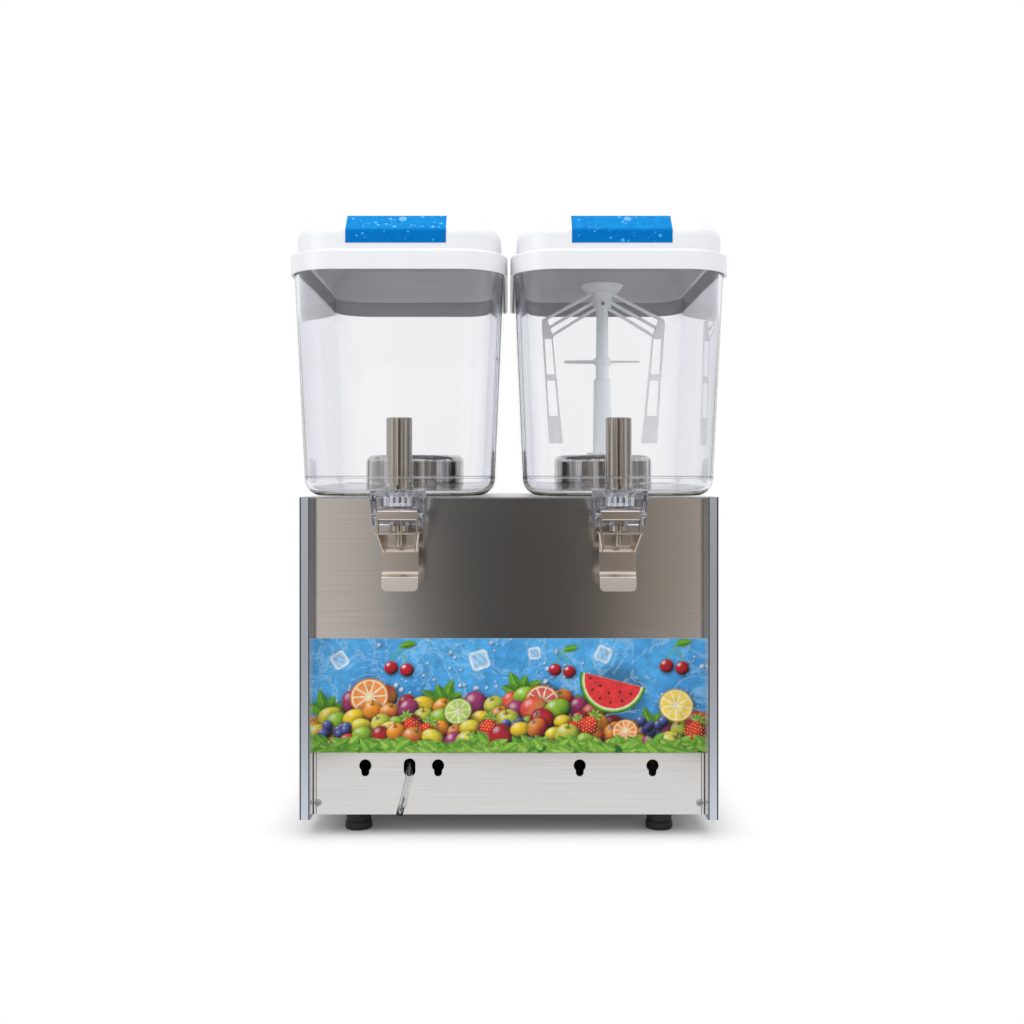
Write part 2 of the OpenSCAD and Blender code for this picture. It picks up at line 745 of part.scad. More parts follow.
// A welded can with domed ends on a foot plate
compressor_cap = 26;
mount_margin = 8;
mount_d = 68;
mount_plate_t = 3;
mount_inset = 7;
mount_r = 7;
mount_pin_r = 3.7;
mount_pin_h = 5;
mount_x = compressor_r + mount_margin - mount_inset;
mount_y = mount_d / 2 - mount_inset;
module compressor() {
  r = compressor_r;
  cap = compressor_cap;
  color(black) translate([compressor_x, compressor_y, compressor_z]) {
    rotate_extrude() union() {
      translate([0, cap]) square([r, compressor_h - 2 * cap]);
      square([r - cap, compressor_h]);
      intersection() {
        union() for (z = [cap, compressor_h - cap]) translate([r - cap, z]) circle(r = cap);
        square([r, compressor_h]);
      }
    }
    difference() {
      translate([-r - mount_margin, -mount_d / 2, 0]) cube([2 * (r + mount_margin), mount_d, mount_plate_t]);
      for (x = [-mount_x, mount_x], y = [-mount_y, mount_y])
        translate([x, y, -1]) cylinder(r = mount_pin_r + gap, h = mount_plate_t + 2);
    }
  }
}

module compressor_mounts() {
  color(rubber) for (x = [-mount_x, mount_x], y = [-mount_y, mount_y])
    translate([compressor_x + x, compressor_y + y, pan_top]) {
      cylinder(r = mount_r, h = mount_h);
      cylinder(r = mount_pin_r, h = mount_h + mount_pin_h);
    }
}

condenser_fins = 18;
fin_t = 1;
end_t = 2;
tube_r = 4.5;
tube_rise = 20;
tube_pitch = 28;
tube_n = 6;
// Fin plates on cross tubes, between two end plates
module condenser() {
  pitch = (condenser_l - end_t) / (condenser_fins - 1);
  color([0.75, 0.76, 0.78]) translate([condenser_x, condenser_y, pan_top]) {
    for (i = [0:condenser_fins - 1]) translate([0, i * pitch, 0])
      cube([condenser_w, i == 0 || i == condenser_fins - 1 ? end_t : fin_t, condenser_h]);
    for (k = [0:tube_n - 1]) translate([condenser_w / 2, 0, tube_rise + k * tube_pitch])
      rotate([-90, 0, 0]) cylinder(r = tube_r, h = condenser_l);
  }
}

shroud_t = 12;
shroud_rise = 10;
fan_clear = 5;
module fan_shroud() {
  color(black) difference() {
    translate([condenser_x - shroud_t, condenser_y, pan_top])
      cube([shroud_t, condenser_l, condenser_h + shroud_rise]);
    translate([condenser_x - 2 * shroud_t, fan_y, fan_z]) rotate([0, 90, 0])
      cylinder(r = fan_r + fan_clear, h = 3 * shroud_t);
  }
}

// Motor on a bracket that stands on the pan
fan_motor_back = 62;
fan_motor_r = 30;
fan_motor_l = 52;
fan_stand_w = 24;
fan_stand_d = 44;
fan_base_w = 44;
fan_base_d = 60;
fan_base_t = 3;
fan_shaft_r = 3;
fan_shaft_l = 30;
fan_shaft_room = 2;
module fan_motor() {
  mid = fan_motor_l / 2;
  color(zinc) translate([fan_x - fan_motor_back, fan_y, 0]) difference() {
    union() {
      translate([0, 0, fan_z]) rotate([0, 90, 0]) cylinder(r = fan_motor_r, h = fan_motor_l);
      translate([mid - fan_stand_w / 2, -fan_stand_d / 2, pan_top])
        cube([fan_stand_w, fan_stand_d, fan_z - pan_top]);
      translate([mid - fan_base_w / 2, -fan_base_d / 2, pan_top]) cube([fan_base_w, fan_base_d, fan_base_t]);
    }
    translate([fan_motor_back - fan_shaft_l - fan_shaft_room, 0, fan_z]) rotate([0, 90, 0])
      cylinder(r = fan_shaft_r + pin_gap, h = fan_motor_l);
  }
}

// Five blades and a shaft
fan_hub_r = 18;
fan_hub_h = 24;
fan_hub_back = 5;
fan_blade_w = 40;
fan_blade_t = 2;
fan_blade_root = 4;
module fan() {
  color("gainsboro") translate([fan_x, fan_y, fan_z]) rotate([0, 90, 0]) {
    translate([0, 0, -fan_hub_back]) cylinder(r = fan_hub_r, h = fan_hub_h);
    translate([0, 0, -fan_shaft_l]) cylinder(r = fan_shaft_r, h = fan_shaft_l);
    for (i = [0:4]) rotate([0, 0, 72 * i]) translate([fan_hub_r - fan_blade_root, 0, fan_hub_h / 3])
      rotate([32, 0, 0]) translate([0, -fan_blade_w / 2, -fan_blade_t / 2])
        cube([fan_r - fan_hub_r, fan_blade_w, fan_blade_t]);
  }
}

// From the compressor over to the condenser's top tube
module discharge_pipe() {
  top = compressor_z + compressor_h;
  x = condenser_x + condenser_w / 2;
  y = condenser_y - pipe_room;
  z = pan_top + condenser_h + pipe_rise;
  inlet = pan_top + tube_rise + (tube_n - 1) * tube_pitch;
  color(copper) pipe([
    [compressor_x + pipe_port, compressor_y, top], [compressor_x + pipe_port, compressor_y, z],
    [compressor_x + pipe_port, y, z], [x, y, z], [x, y, inlet], [x, condenser_y, inlet]
  ], pipe_r);
}

// A can on the condenser's lowest tube
module filter_drier() {
  y = condenser_y - drier_neck;
  z = pan_top + tube_rise;
  color(copper) translate([condenser_x + condenser_w / 2, 0, 0]) {
    rod([0, condenser_y, z], [0, y, z], pipe_r);
    rod([0, y + eps, z], [0, y - drier_l, z], drier_r);
  }
}

// From the two evaporators back to the compressor
module suction_pipe() {
  top = compressor_z + compressor_h;
  z = deck_z - 2 * sheet_t - pipe_room;
  low = z - suction_drop;
  x = tank_x - (dome_r - sheet_t - gap - pipe_r);
  port = compressor_x - pipe_port;
  color(copper) {
    pipe([[-x, dome_y, z + pipe_room], [-x, dome_y, z], [x, dome_y, z], [x, dome_y, z + pipe_room]], pipe_r);
    pipe([
      [port, compressor_y, top], [port, compressor_y, low], [0, compressor_y, low],
      [0, dome_y, low], [0, dome_y, z]
    ], pipe_r - elbow);
  }
}

// Controls

thermostat_w = 46;
thermostat_d = 30;
knob_shaft_r = 3;
knob_shaft_l = 7;
knob_room = 1;
knob_r = 13;
knob_l = 10;
knob_taper = 1.5;
pointer_w = 3;
pointer_out = 1;
module thermostat() {
  color(natural) translate([knob_x, rear_y - sheet_t, knob_z]) {
    translate([-thermostat_w / 2, -thermostat_d, -thermostat_w / 2])
      cube([thermostat_w, thermostat_d, thermostat_w]);
    rotate([-90, 0, 0]) cylinder(r = knob_shaft_r, h = sheet_t + knob_shaft_l);
  }
}

module thermostat_knob() {
  color(black) translate([knob_x, rear_y + gap, knob_z]) rotate([-90, 0, 0]) difference() {
    union() {
      cylinder(r1 = knob_r, r2 = knob_r - knob_taper, h = knob_l);
      translate([-pointer_w / 2, 0, 0]) cube([pointer_w, knob_r + pointer_out, knob_l - pointer_out]);
    }
    translate([0, 0, -1]) cylinder(r = knob_shaft_r + pin_gap, h = knob_shaft_l + 2);
  }
}

switch_w = 19;
switch_h = 25;
switch_d = 24;
switch_rim = 2;
switch_fit = 0.3;
bezel_t = 1.6;
pocket_d = 8;
rocker_gap = 0.5;
rocker_w = switch_w - 5;
rocker_h = switch_h - 6;
rocker_in = 3;
rocker_back = 2.5;
rocker_edge = 1.2;
rocker_tip = 5.4;
rocker_mid = 4;
// Frame and body of both rocker switches
module switch_housings() {
  color(black) for (i = [-1, 1]) translate([side_x, switch_y, switch_z + i * switch_pitch / 2])
    difference() {
      union() {
        translate([bezel_t / 2, 0, 0])
          cube([bezel_t, switch_w + 2 * switch_rim, switch_h + 2 * switch_rim], center = true);
        translate([-switch_d / 2, 0, 0])
          cube([switch_d + eps, switch_w - 2 * switch_fit, switch_h - 2 * switch_fit], center = true);
      }
      cube([2 * pocket_d, rocker_w + 2 * rocker_gap, rocker_h + 2 * rocker_gap], center = true);
    }
}

// A rocker stored with its lower half pressed in
module rocker(i) {
  end = rocker_h / 2 - rocker_edge;
  color([0.7, 0.1, 0.08]) translate([side_x - rocker_in, switch_y, switch_z + i * switch_pitch / 2])
    rotate([0, rocker_tilt, 0]) intersection() {
      rotate([90, 0, 0]) linear_extrude(height = rocker_w, center = true) polygon([
        [-rocker_back, -end], [rocker_tip, -end], [rocker_mid, 0], [rocker_tip, end], [-rocker_back, end]
      ]);
      rotate([90, 0, 0]) cylinder(r = rocker_h / 2, h = rocker_w, center = true);
    }
}

gland_tail = 4;
gland_rim = 3;
gland_taper = 1;
module cable_gland() {
  color(black) translate([gland_x, rear_y, gland_z]) rotate([-90, 0, 0]) difference() {
    union() {
      translate([0, 0, -sheet_t - gland_tail]) cylinder(r = gland_r - gap, h = sheet_t + gland_tail + eps);
      cylinder(r = gland_r + gland_rim, h = gland_rim);
      cylinder(r1 = gland_r, r2 = gland_r - gland_taper, h = rear_inset - gland_taper);
    }
    translate([0, 0, -sheet_t - 2 * gland_tail]) cylinder(r = gland_bore, h = 2 * rear_inset + 2 * gland_tail);
  }
}

spigot_r = 3.5;
spigot_wall = 1.2;
spigot_rim = 4;
spigot_rim_t = 3;
module drain_spigot() {
  color(natural) translate([hose_x, hose_y, 0]) difference() {
    union() {
      translate([0, 0, hose_start_z]) cylinder(r = spigot_r, h = spigot_l - eps);
      translate([0, 0, deck_z - sheet_t - spigot_rim_t]) cylinder(r = spigot_r + spigot_rim, h = spigot_rim_t);
    }
    translate([0, 0, hose_start_z - 1]) cylinder(r = spigot_r - spigot_wall, h = 2 * spigot_l);
  }
}

module drain_hose() {
  color(clear) swept_tube(hose_points, hose_d / 2, 8);
}

// Tanks, taps and lids

module tank_outer() {
  r_low = tank_corner - tank_draft;
  hull() for (c = corner_centres(tank_w, tank_d, tank_corner)) translate([c[0], c[1], 0]) {
    translate([0, 0, tank_fillet]) rotate_extrude($fn = hull_fn)
      translate([r_low - tank_fillet, 0]) circle(r = tank_fillet, $fn = hull_fn);
    translate([0, 0, tank_h - 1]) cylinder(r = tank_corner, h = 1, $fn = hull_fn);
  }
}

module tank_inner() {
  r_low = tank_corner - tank_draft - tank_wall;
  fillet = tank_fillet - tank_wall;
  hull() for (c = corner_centres(tank_w, tank_d, tank_corner)) translate([c[0], c[1], tank_wall]) {
    translate([0, 0, fillet]) rotate_extrude($fn = hull_fn)
      translate([r_low - fillet, 0]) circle(r = fillet, $fn = hull_fn);
    translate([0, 0, tank_h]) cylinder(r = tank_corner - tank_wall, h = 1, $fn = hull_fn);
  }
}

// The block under the tank's front that houses the valve, with a cheek each side of the lever
module spout_block() {
  top_z = tank_z + tank_fillet / 2;
  translate([0, spout_back, 0]) rotate([90, 0, 0]) linear_extrude(height = spout_back - spout_front)
    polygon([
      [-spout_low_w / 2, spout_z], [spout_low_w / 2, spout_z],
      [spout_w / 2, tank_z], [spout_w / 2, top_z], [-spout_w / 2, top_z], [-spout_w / 2, tank_z]
    ]);
}

module tank(side) {
  color(clear) translate([side * tank_x, 0, 0]) difference() {
    union() {
      translate([0, tank_y, tank_z]) tank_outer();
      spout_block();
    }
    translate([0, tank_y, tank_z]) tank_inner();
    translate([0, dome_y, tank_z]) cylinder(r = tank_hole_r, h = 4 * tank_wall, center = true);
    translate([0, tap_y, seat_z]) cylinder(r = bore_r, h = tank_fillet * 2);
    translate([0, tap_y, spout_z - 1]) cylinder(r = outlet_r, h = spout_h);
    span(
      [-cheek_gap, spout_front - 1, spout_z - 1],
      [cheek_gap, pivot_y + knuckle_r + knuckle_room, pivot_z + knuckle_r + knuckle_room]);
    translate([0, pivot_y, pivot_z]) rotate([0, 90, 0])
      cylinder(r = pin_r + pin_gap, h = spout_w + 2, center = true);
  }
}

module hinge_pin(side) {
  color(steel) translate([side * tank_x, pivot_y, pivot_z]) rotate([0, 90, 0])
    cylinder(r = pin_r, h = spout_low_w + 1, center = true);
}

// Folded sheet lever: knuckle, arms, lifting shelf, push plate and lip
shelf_extra = 7;
arm_foot = 5;
arm_inset = 0.4;
plate_behind = 12;
step_top = 10.5;
step_h = 6;
step_ahead = 4;
bend_ahead = 4.5;
bend_h = 5;
lip_ahead = 7;
lip_corner = 5;
gusset_inset = 4.5;
gusset_l = 34;
gusset_low_l = 14;
gusset_h = 19;
gusset_turn = 11.5;
slot_l = 4.5;
slot_gap = 0.9;
module lever(side) {
  t = lever_t;
  shelf_w = lever_w + shelf_extra;
  arm_x = cheek_gap - gap - t / 2;
  plate_y = tap_y + plate_behind + t / 2;
  face_y = plate_y - step_ahead;
  slot_r = nozzle_r + slot_gap;
  color(steel) translate([side * tank_x, 0, 0]) difference() {
    union() {
      translate([0, pivot_y, pivot_z]) rotate([0, 90, 0])
        cylinder(r = knuckle_r, h = 2 * (cheek_gap - gap), center = true);
      for (x = [-1, 1]) translate([x * arm_x, 0, 0]) across(t) polygon([
        [pivot_y - knuckle_r + arm_inset, pivot_z], [pivot_y + knuckle_r - arm_inset, pivot_z],
        [pivot_y + arm_foot, shelf_z - t], [pivot_y - arm_foot, shelf_z - t]
      ]);
      span([-shelf_w / 2, pivot_y - arm_foot, shelf_z - t], [shelf_w / 2, plate_y + t / 2, shelf_z]);
      for (x = [-1, 1]) translate([x * (lever_w / 2 - gusset_inset), plate_y, 0])
        rotate([0, 0, x * gusset_turn]) across(t) polygon([
          [-gusset_l, shelf_z - t / 2], [0, shelf_z - t / 2],
          [0, shelf_z - gusset_h], [-gusset_low_l, shelf_z - gusset_h]
        ]);
      across(lever_w) polygon(strip([
        [plate_y, shelf_z - t / 4], [plate_y, shelf_z - step_top], [face_y, shelf_z - step_top - step_h],
        [face_y, plate_z], [face_y - bend_ahead, plate_z - bend_h], [face_y - lip_ahead, lip_z]
      ], t));
    }
    translate([0, pivot_y, pivot_z]) rotate([0, 90, 0])
      cylinder(r = pin_r + pin_gap, h = spout_w, center = true);
    for (y = [tap_y - slot_l, tap_y]) translate([0, y, shelf_z])
      cylinder(r = slot_r, h = 4 * t, center = true);
    translate([0, tap_y - slot_l / 2, shelf_z]) cube([2 * slot_r, slot_l, 4 * t], center = true);
    for (x = [-1, 1]) translate([x * lever_w / 2, face_y - lip_ahead, lip_z]) rotate([0, 45, 0])
      cube([lip_corner, 4 * lip_corner, lip_corner], center = true);
  }
}

// A capped tube with an inlet slot at its foot
piston_cap = 2;
inlet_w = 2.4;
inlet_h = 6;
inlet_rise = 11;
module valve_piston(side) {
  h = floor_z + piston_h - collar_top;
  color(steel) translate([side * tank_x, tap_y, collar_top]) difference() {
    cylinder(r = piston_r, h = h);
    translate([0, 0, -1]) cylinder(r = piston_r - piston_wall, h = h + 1 - piston_cap);
    translate([-inlet_w / 2, -piston_r - 1, inlet_rise]) cube([inlet_w, 4 * piston_wall, inlet_h]);
  }
}

stem_fit = 0.1;
module valve_seal(side) {
  color(natural) translate([side * tank_x, tap_y, seat_z]) difference() {
    cylinder(r = piston_r, h = seal_ring_h);
    translate([0, 0, -1]) cylinder(r = collar_r + stem_fit, h = seal_ring_h + 2);
  }
}

// Hollow stem: plug in the piston, collar on the lever's shelf, nozzle below
plug_h = 6;
module valve_stem(side) {
  color(steel) translate([side * tank_x, tap_y, 0]) difference() {
    union() {
      translate([0, 0, collar_top]) cylinder(r = piston_r - piston_wall - stem_fit, h = plug_h);
      translate([0, 0, shelf_z + gap]) cylinder(r = collar_r, h = collar_top - shelf_z - gap + eps);
      translate([0, 0, nozzle_z]) cylinder(r = nozzle_r, h = shelf_z + gap - nozzle_z + eps);
    }
    translate([0, 0, nozzle_z - 1]) cylinder(r = nozzle_bore, h = collar_top + plug_h + 2 - nozzle_z);
  }
}

// Skirt, ledge, upright crown and sloping shoulder, hollow underneath
module lid(side) {
  skirt_z = rim_z - lid_overlap;
  ledge_z = rim_z + lid_wall;
  crown_r = lid_corner - lid_ledge;
  crown_w = lid_w - 2 * lid_ledge;
  crown_d = lid_d - 2 * lid_ledge;
  crown_in = crown_r - lid_wall;
  inner_r = lid_corner - lid_wall;
  color(white) translate([side * tank_x, tank_y, 0]) difference() {
    union() {
      translate([0, 0, skirt_z]) rounded_block(lid_w, lid_d, ledge_z - skirt_z, lid_corner, lid_corner);
      hull() for (c = corner_centres(crown_w, crown_d, crown_r)) translate([c[0], c[1], rim_z]) {
        cylinder(r = crown_r, h = lid_wall + crown_h, $fn = hull_fn);
        translate([0, 0, lid_wall + crown_h])
          cylinder(r1 = crown_r, r2 = crown_r - shoulder, h = shoulder, $fn = hull_fn);
      }
    }
    translate([0, 0, skirt_z - 1])
      rounded_block(lid_w - 2 * lid_wall, lid_d - 2 * lid_wall, rim_z - skirt_z + 1, inner_r, inner_r);
    hull() for (c = corner_centres(crown_w, crown_d, crown_r)) translate([c[0], c[1], rim_z - 1]) {
      cylinder(r = crown_in, h = lid_wall + crown_h, $fn = hull_fn);
      translate([0, 0, lid_wall + crown_h])
        cylinder(r1 = crown_in, r2 = crown_in - shoulder, h = shoulder - 0.8 * lid_wall, $fn = hull_fn);
    }
  }
}

// A printed film folded over the crown's front edge
label_rise = 7;
label_end = 1;
module lid_label(side) {
  y = front_y + lid_ledge;
  low = rim_z + lid_wall + label_rise;
  bend = rim_z + lid_wall + crown_h;
  k = shoulder - label_end;
  n = label_t / sqrt(2);
  color(blue) translate([side * tank_x, 0, 0]) across(label_w) polygon([
    [y, low], [y, bend], [y + k, bend + k], [y + k - n, bend + k + n],
    [y - label_t, bend + label_t * (sqrt(2) - 1)], [y - label_t, low]
  ]);
}

base_pan();
feet();
corner_post(-1);  // left_corner_post
corner_post(1);  // right_corner_post
side_panel(-1);  // left_side_panel
side_panel(1);  // right_side_panel
front_panel();
picture_panel();
lower_front_panel();
rear_panel();
deck_plate();
panel_screws();
cold_dome(-1);  // left_cold_dome
cold_dome(1);  // right_cold_dome
tank_seal(-1);  // left_tank_seal
tank_seal(1);  // right_tank_seal
evaporator(-1);  // left_evaporator
evaporator(1);  // right_evaporator
stand_tube();
stand_tube_bush();
stirrer_motor();
stirrer_bracket();
drive_shaft();
agitator();
compressor();
compressor_mounts();
condenser();
fan_shroud();
fan_motor();
fan();
discharge_pipe();
suction_pipe();
filter_drier();
thermostat();
thermostat_knob();
switch_housings();
rocker(1);  // cooling_rocker
rocker(-1);  // stirring_rocker
cable_gland();
drain_spigot();
drain_hose();
tank(-1);  // left_tank
tank(1);  // right_tank
hinge_pin(-1);  // left_hinge_pin
hinge_pin(1);  // right_hinge_pin
lever(-1);  // left_lever
lever(1);  // right_lever
valve_piston(-1);  // left_valve_piston
valve_piston(1);  // right_valve_piston
valve_seal(-1);  // left_valve_seal
valve_seal(1);  // right_valve_seal
valve_stem(-1);  // left_valve_stem
valve_stem(1);  // right_valve_stem
lid(-1);  // left_lid
lid(1);  // right_lid
lid_label(-1);  // left_lid_label
lid_label(1);  // right_lid_label
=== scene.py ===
import math
import random

import bmesh
import bpy
import numpy as np
from mathutils import Matrix, Vector


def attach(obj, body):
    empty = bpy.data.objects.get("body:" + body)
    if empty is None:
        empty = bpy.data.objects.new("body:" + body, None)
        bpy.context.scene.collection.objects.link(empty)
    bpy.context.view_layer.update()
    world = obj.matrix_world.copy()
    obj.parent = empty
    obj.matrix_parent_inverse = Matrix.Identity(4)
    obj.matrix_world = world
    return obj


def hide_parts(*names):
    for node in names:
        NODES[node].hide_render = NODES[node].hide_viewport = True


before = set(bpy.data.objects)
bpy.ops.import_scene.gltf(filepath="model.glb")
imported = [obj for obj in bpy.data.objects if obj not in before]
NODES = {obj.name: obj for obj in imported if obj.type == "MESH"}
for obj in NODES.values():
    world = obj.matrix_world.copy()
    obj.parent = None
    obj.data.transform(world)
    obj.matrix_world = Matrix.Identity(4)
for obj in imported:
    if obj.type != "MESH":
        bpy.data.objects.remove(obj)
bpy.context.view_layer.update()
SCENE = bpy.context.scene
SCENE.view_settings.view_transform = "Standard"

# Sizes in metres, as in the part's source
HALF_W = 0.210
POST_W = 0.011
POST_WALL = 0.0015
POST_Y = -0.128
POST_END = -0.096
PANEL_Y = -0.108
REAR_Y = 0.188
FOOT_H = 0.023
APRON_TOP = 0.086
PICTURE_TOP = 0.202
PICTURE_T = 0.002
DECK_Z = 0.346
INNER_W = HALF_W - POST_W
TANK_X = 0.107
TANK_Y = -0.030
TANK_Z = 0.348
TANK_WALL = 0.004
RIM_Z = 0.578
TAP_Y = -0.155
DOME_Y = 0.048
DOME_R = 0.0565
DOME_TOP = 0.391
SHEET_T = 0.0012
PIVOT = Vector((0, -0.175, 0.3294))
PIN_HOLE_R = 0.00255
SHELF_Z = 0.3125
LEVER_T = 0.0015
LEVER_W = 0.036
LABEL_Y = -0.1942
LABEL_LOW = 0.5875
LABEL_FOLD = 0.6001
LABEL_RUN = 0.01605
LABEL_W = 0.095
LABEL_T = 0.0004
# Heights over which the label's painted light rises to its lighter top colour
LABEL_PAINTED_LIGHT_RISE = (0.598, 0.603)
LOUVRE_Z = 0.1242
SIDES = (("left", -1), ("right", 1))

# Places closer than the first count as one, and points closer than the second are merged
SAME = 1e-5
MERGE = 1e-6


# Camera at the photograph's place

LENS = 41.6
SENSOR = 36
SHIFT = (0.003, -0.034)
EYE = (0, -1.311, 0.366)


def add_camera():
    data = bpy.data.cameras.new("camera")
    data.sensor_width = SENSOR
    data.lens = LENS
    data.shift_x, data.shift_y = SHIFT
    camera = bpy.data.objects.new("camera", data)
    camera.location = EYE
    camera.rotation_euler = (math.radians(90), 0, 0)
    SCENE.collection.objects.link(camera)
    SCENE.camera = camera


# Mesh helpers

def block(low, high):
    bm = bmesh.new()
    bmesh.ops.create_cube(bm, size=1)
    low, high = Vector(low), Vector(high)
    bmesh.ops.scale(bm, vec=high - low, verts=bm.verts)
    return shifted(bm, (low + high) / 2)


def rounded(bm, edges, radius, segments=3, clamp=True):
    bmesh.ops.bevel(
        bm, geom=list(edges), offset=radius, offset_type="OFFSET", segments=segments,
        profile=0.5, affect="EDGES", material=-1, clamp_overlap=clamp,
    )
    return bm


def creases(bm, degrees=40):
    limit = math.radians(degrees)
    return [e for e in bm.edges if len(e.link_faces) == 2 and e.calc_face_angle() > limit]


def soft_edges(bm, radius=0.0003):
    return rounded(bm, creases(bm, 60), radius, 2)


def edges_along(bm, axis, where=lambda p: True):
    """Edges that run along an axis and whose middle passes a test."""
    found = []
    for e in bm.edges:
        d = e.verts[1].co - e.verts[0].co
        middle = (e.verts[0].co + e.verts[1].co) / 2
        if d.length > 1e-7 and abs(d[axis]) > 0.9 * d.length and where(middle):
            found.append(e)
    return found


def swept(bm, geom, degrees, steps, up=1, merge=False):
    """Sweeps points and edges about the Z axis."""
    bmesh.ops.spin(
        bm, geom=geom, cent=(0, 0, 0), axis=(0, 0, up), dvec=(0, 0, 0), angle=math.radians(degrees),
        steps=steps, use_merge=merge, use_duplicate=False,
    )


def turned(profile, centre=(0, 0, 0), axis="Z", steps=72, closed=False):
    """A lathe shape from (radius, height) points; a closed profile makes a ring."""
    bm = bmesh.new()
    verts = [bm.verts.new((r, 0, z)) for r, z in profile]
    edges = [bm.edges.new(pair) for pair in zip(verts, verts[1:])]
    if closed:
        edges.append(bm.edges.new((verts[-1], verts[0])))
    swept(bm, verts + edges, 360, steps, merge=True)
    bmesh.ops.remove_doubles(bm, verts=bm.verts, dist=MERGE)
    bmesh.ops.delete(bm, geom=[e for e in bm.edges if not e.link_faces], context="EDGES")
    bmesh.ops.recalc_face_normals(bm, faces=bm.faces)
    if axis == "X":
        spun(bm, 90, "Y")
    if axis == "Y":
        spun(bm, -90, "X")
    return shifted(bm, centre)


def rod(r, low, high, centre, axis="Z", steps=48):
    return turned([(0, low), (r, low), (r, high), (0, high)], centre, axis, steps)


def arc(cx, cz, r, start, end, steps=6):
    """Points of an arc in a plane, angles in degrees."""
    turn = [math.radians(start + (end - start) * i / steps) for i in range(steps + 1)]
    return [(cx + r * math.cos(a), cz + r * math.sin(a)) for a in turn]


PLANES = {
    "YZ": (lambda at, a, b: (at, a, b), Vector((1, 0, 0))),
    "XZ": (lambda at, a, b: (a, at, b), Vector((0, 1, 0))),
    "XY": (lambda at, a, b: (a, b, at), Vector((0, 0, 1))),
}


def new_verts(result):
    return [g for g in result["geom"] if isinstance(g, bmesh.types.BMVert)]


def plate(points, thickness, plane="YZ", at=0.0):
    """A flat figure given thickness about the place at, drawn in the named plane."""
    place, normal = PLANES[plane]
    bm = bmesh.new()
    face = bm.faces.new([bm.verts.new(place(at, *p)) for p in points])
    shifted(bm, -normal * thickness / 2)
    out = bmesh.ops.extrude_face_region(bm, geom=[face])
    bmesh.ops.translate(bm, vec=normal * thickness, verts=new_verts(out))
    bmesh.ops.recalc_face_normals(bm, faces=bm.faces)
    return bm


def strip_outline(path, thickness):
    """The outline of a sheet of even thickness along points in a plane."""
    centre = [Vector(p) for p in path]
    sides = []
    for i, p in enumerate(centre):
        before = (p - centre[i - 1]).normalized() if i else (centre[1] - p).normalized()
        after = (centre[i + 1] - p).normalized() if i < len(centre) - 1 else before
        along = (before + after).normalized()
        sides.append(Vector((-along.y, along.x)) * (thickness / 2 / along.dot(before)))
    one = [p + s for p, s in zip(centre, sides)]
    other = [p - s for p, s in zip(centre, sides)]
    return [tuple(p) for p in one + other[::-1]]


def reach(place, point):
    """Distance from a place to a point of a path in Y and Z."""
    return (Vector((place.y, place.z)) - Vector(point)).length


def folded_sheet(path, thickness, width, x, bend):
    """A sheet bent along points in Y and Z, square to X, with rounded bends."""
    bm = plate(strip_outline(path, thickness), width, "YZ", x)
    bends = edges_along(bm, 0, lambda m: min(reach(m, path[0]), reach(m, path[-1])) > 1.1 * thickness)
    return rounded(bm, bends, bend, 4)


def joined(*parts):
    bm = bmesh.new()
    for part in parts:
        mesh = bpy.data.meshes.new("joining")
        part.to_mesh(mesh)
        part.free()
        bm.from_mesh(mesh)
        bpy.data.meshes.remove(mesh)
    return bm


def shifted(bm, vec):
    bmesh.ops.translate(bm, vec=vec, verts=bm.verts)
    return bm


def spun(bm, degrees, axis):
    turn = Matrix.Rotation(math.radians(degrees), 3, axis)
    bmesh.ops.rotate(bm, cent=(0, 0, 0), matrix=turn, verts=bm.verts)
    return bm


def sliced(bm, place, direction, near=MERGE, clear=False):
    """Cuts the faces along a plane; clear takes away what lies behind it."""
    everything = bm.verts[:] + bm.edges[:] + bm.faces[:]
    bmesh.ops.bisect_plane(bm, geom=everything, plane_co=place, plane_no=direction, clear_inner=clear, dist=near)


def mirrored(bm):
    """A copy turned over from right to left."""
    other = bm.copy()
    bmesh.ops.scale(other, vec=(-1, 1, 1), verts=other.verts)
    bmesh.ops.reverse_faces(other, faces=other.faces)
    return other


def placed(name, bm, *materials):
    """An object made of a mesh, which is used up, and its materials."""
    mesh = bpy.data.meshes.new(name)
    bm.to_mesh(mesh)
    bm.free()
    for material in materials:
        mesh.materials.append(material)
    obj = bpy.data.objects.new(name, mesh)
    SCENE.collection.objects.link(obj)
    return obj


def baked(obj, *tools):
    """The mesh of a helper with its modifiers applied; the helper and its tools are removed."""
    graph = bpy.context.evaluated_depsgraph_get()
    mesh = bpy.data.meshes.new_from_object(obj.evaluated_get(graph))
    bm = bmesh.new()
    bm.from_mesh(mesh)
    bpy.data.meshes.remove(mesh)
    for o in (obj, *tools):
        old = o.data
        bpy.data.objects.remove(o)
        bpy.data.meshes.remove(old)
    return bm


def add_wall(obj, thickness):
    wall = obj.modifiers.new("wall", "SOLIDIFY")
    wall.thickness = thickness
    wall.offset = -1
    return wall


def walled(bm, thickness):
    """A shell of even thickness inwards from an open surface."""
    obj = placed("helper", bm)
    add_wall(obj, thickness).use_even_offset = True
    return baked(obj)


def carved(bm, tools, operation="DIFFERENCE"):
    obj = placed("helper", bm)
    cutters = [placed("helper", t) for t in tools]
    for cutter in cutters:
        cut = obj.modifiers.new("cut", "BOOLEAN")
        cut.object = cutter
        cut.operation = operation
        cut.solver = "EXACT"
    return baked(obj, *cutters)


def welded(bm, parts):
    return carved(bm, parts, "UNION")


def marked(bm, index, where):
    """Gives the faces that pass a test, of face and centre, another of the piece's materials."""
    for f in bm.faces:
        if where(f, f.calc_center_median()):
            f.material_index = index


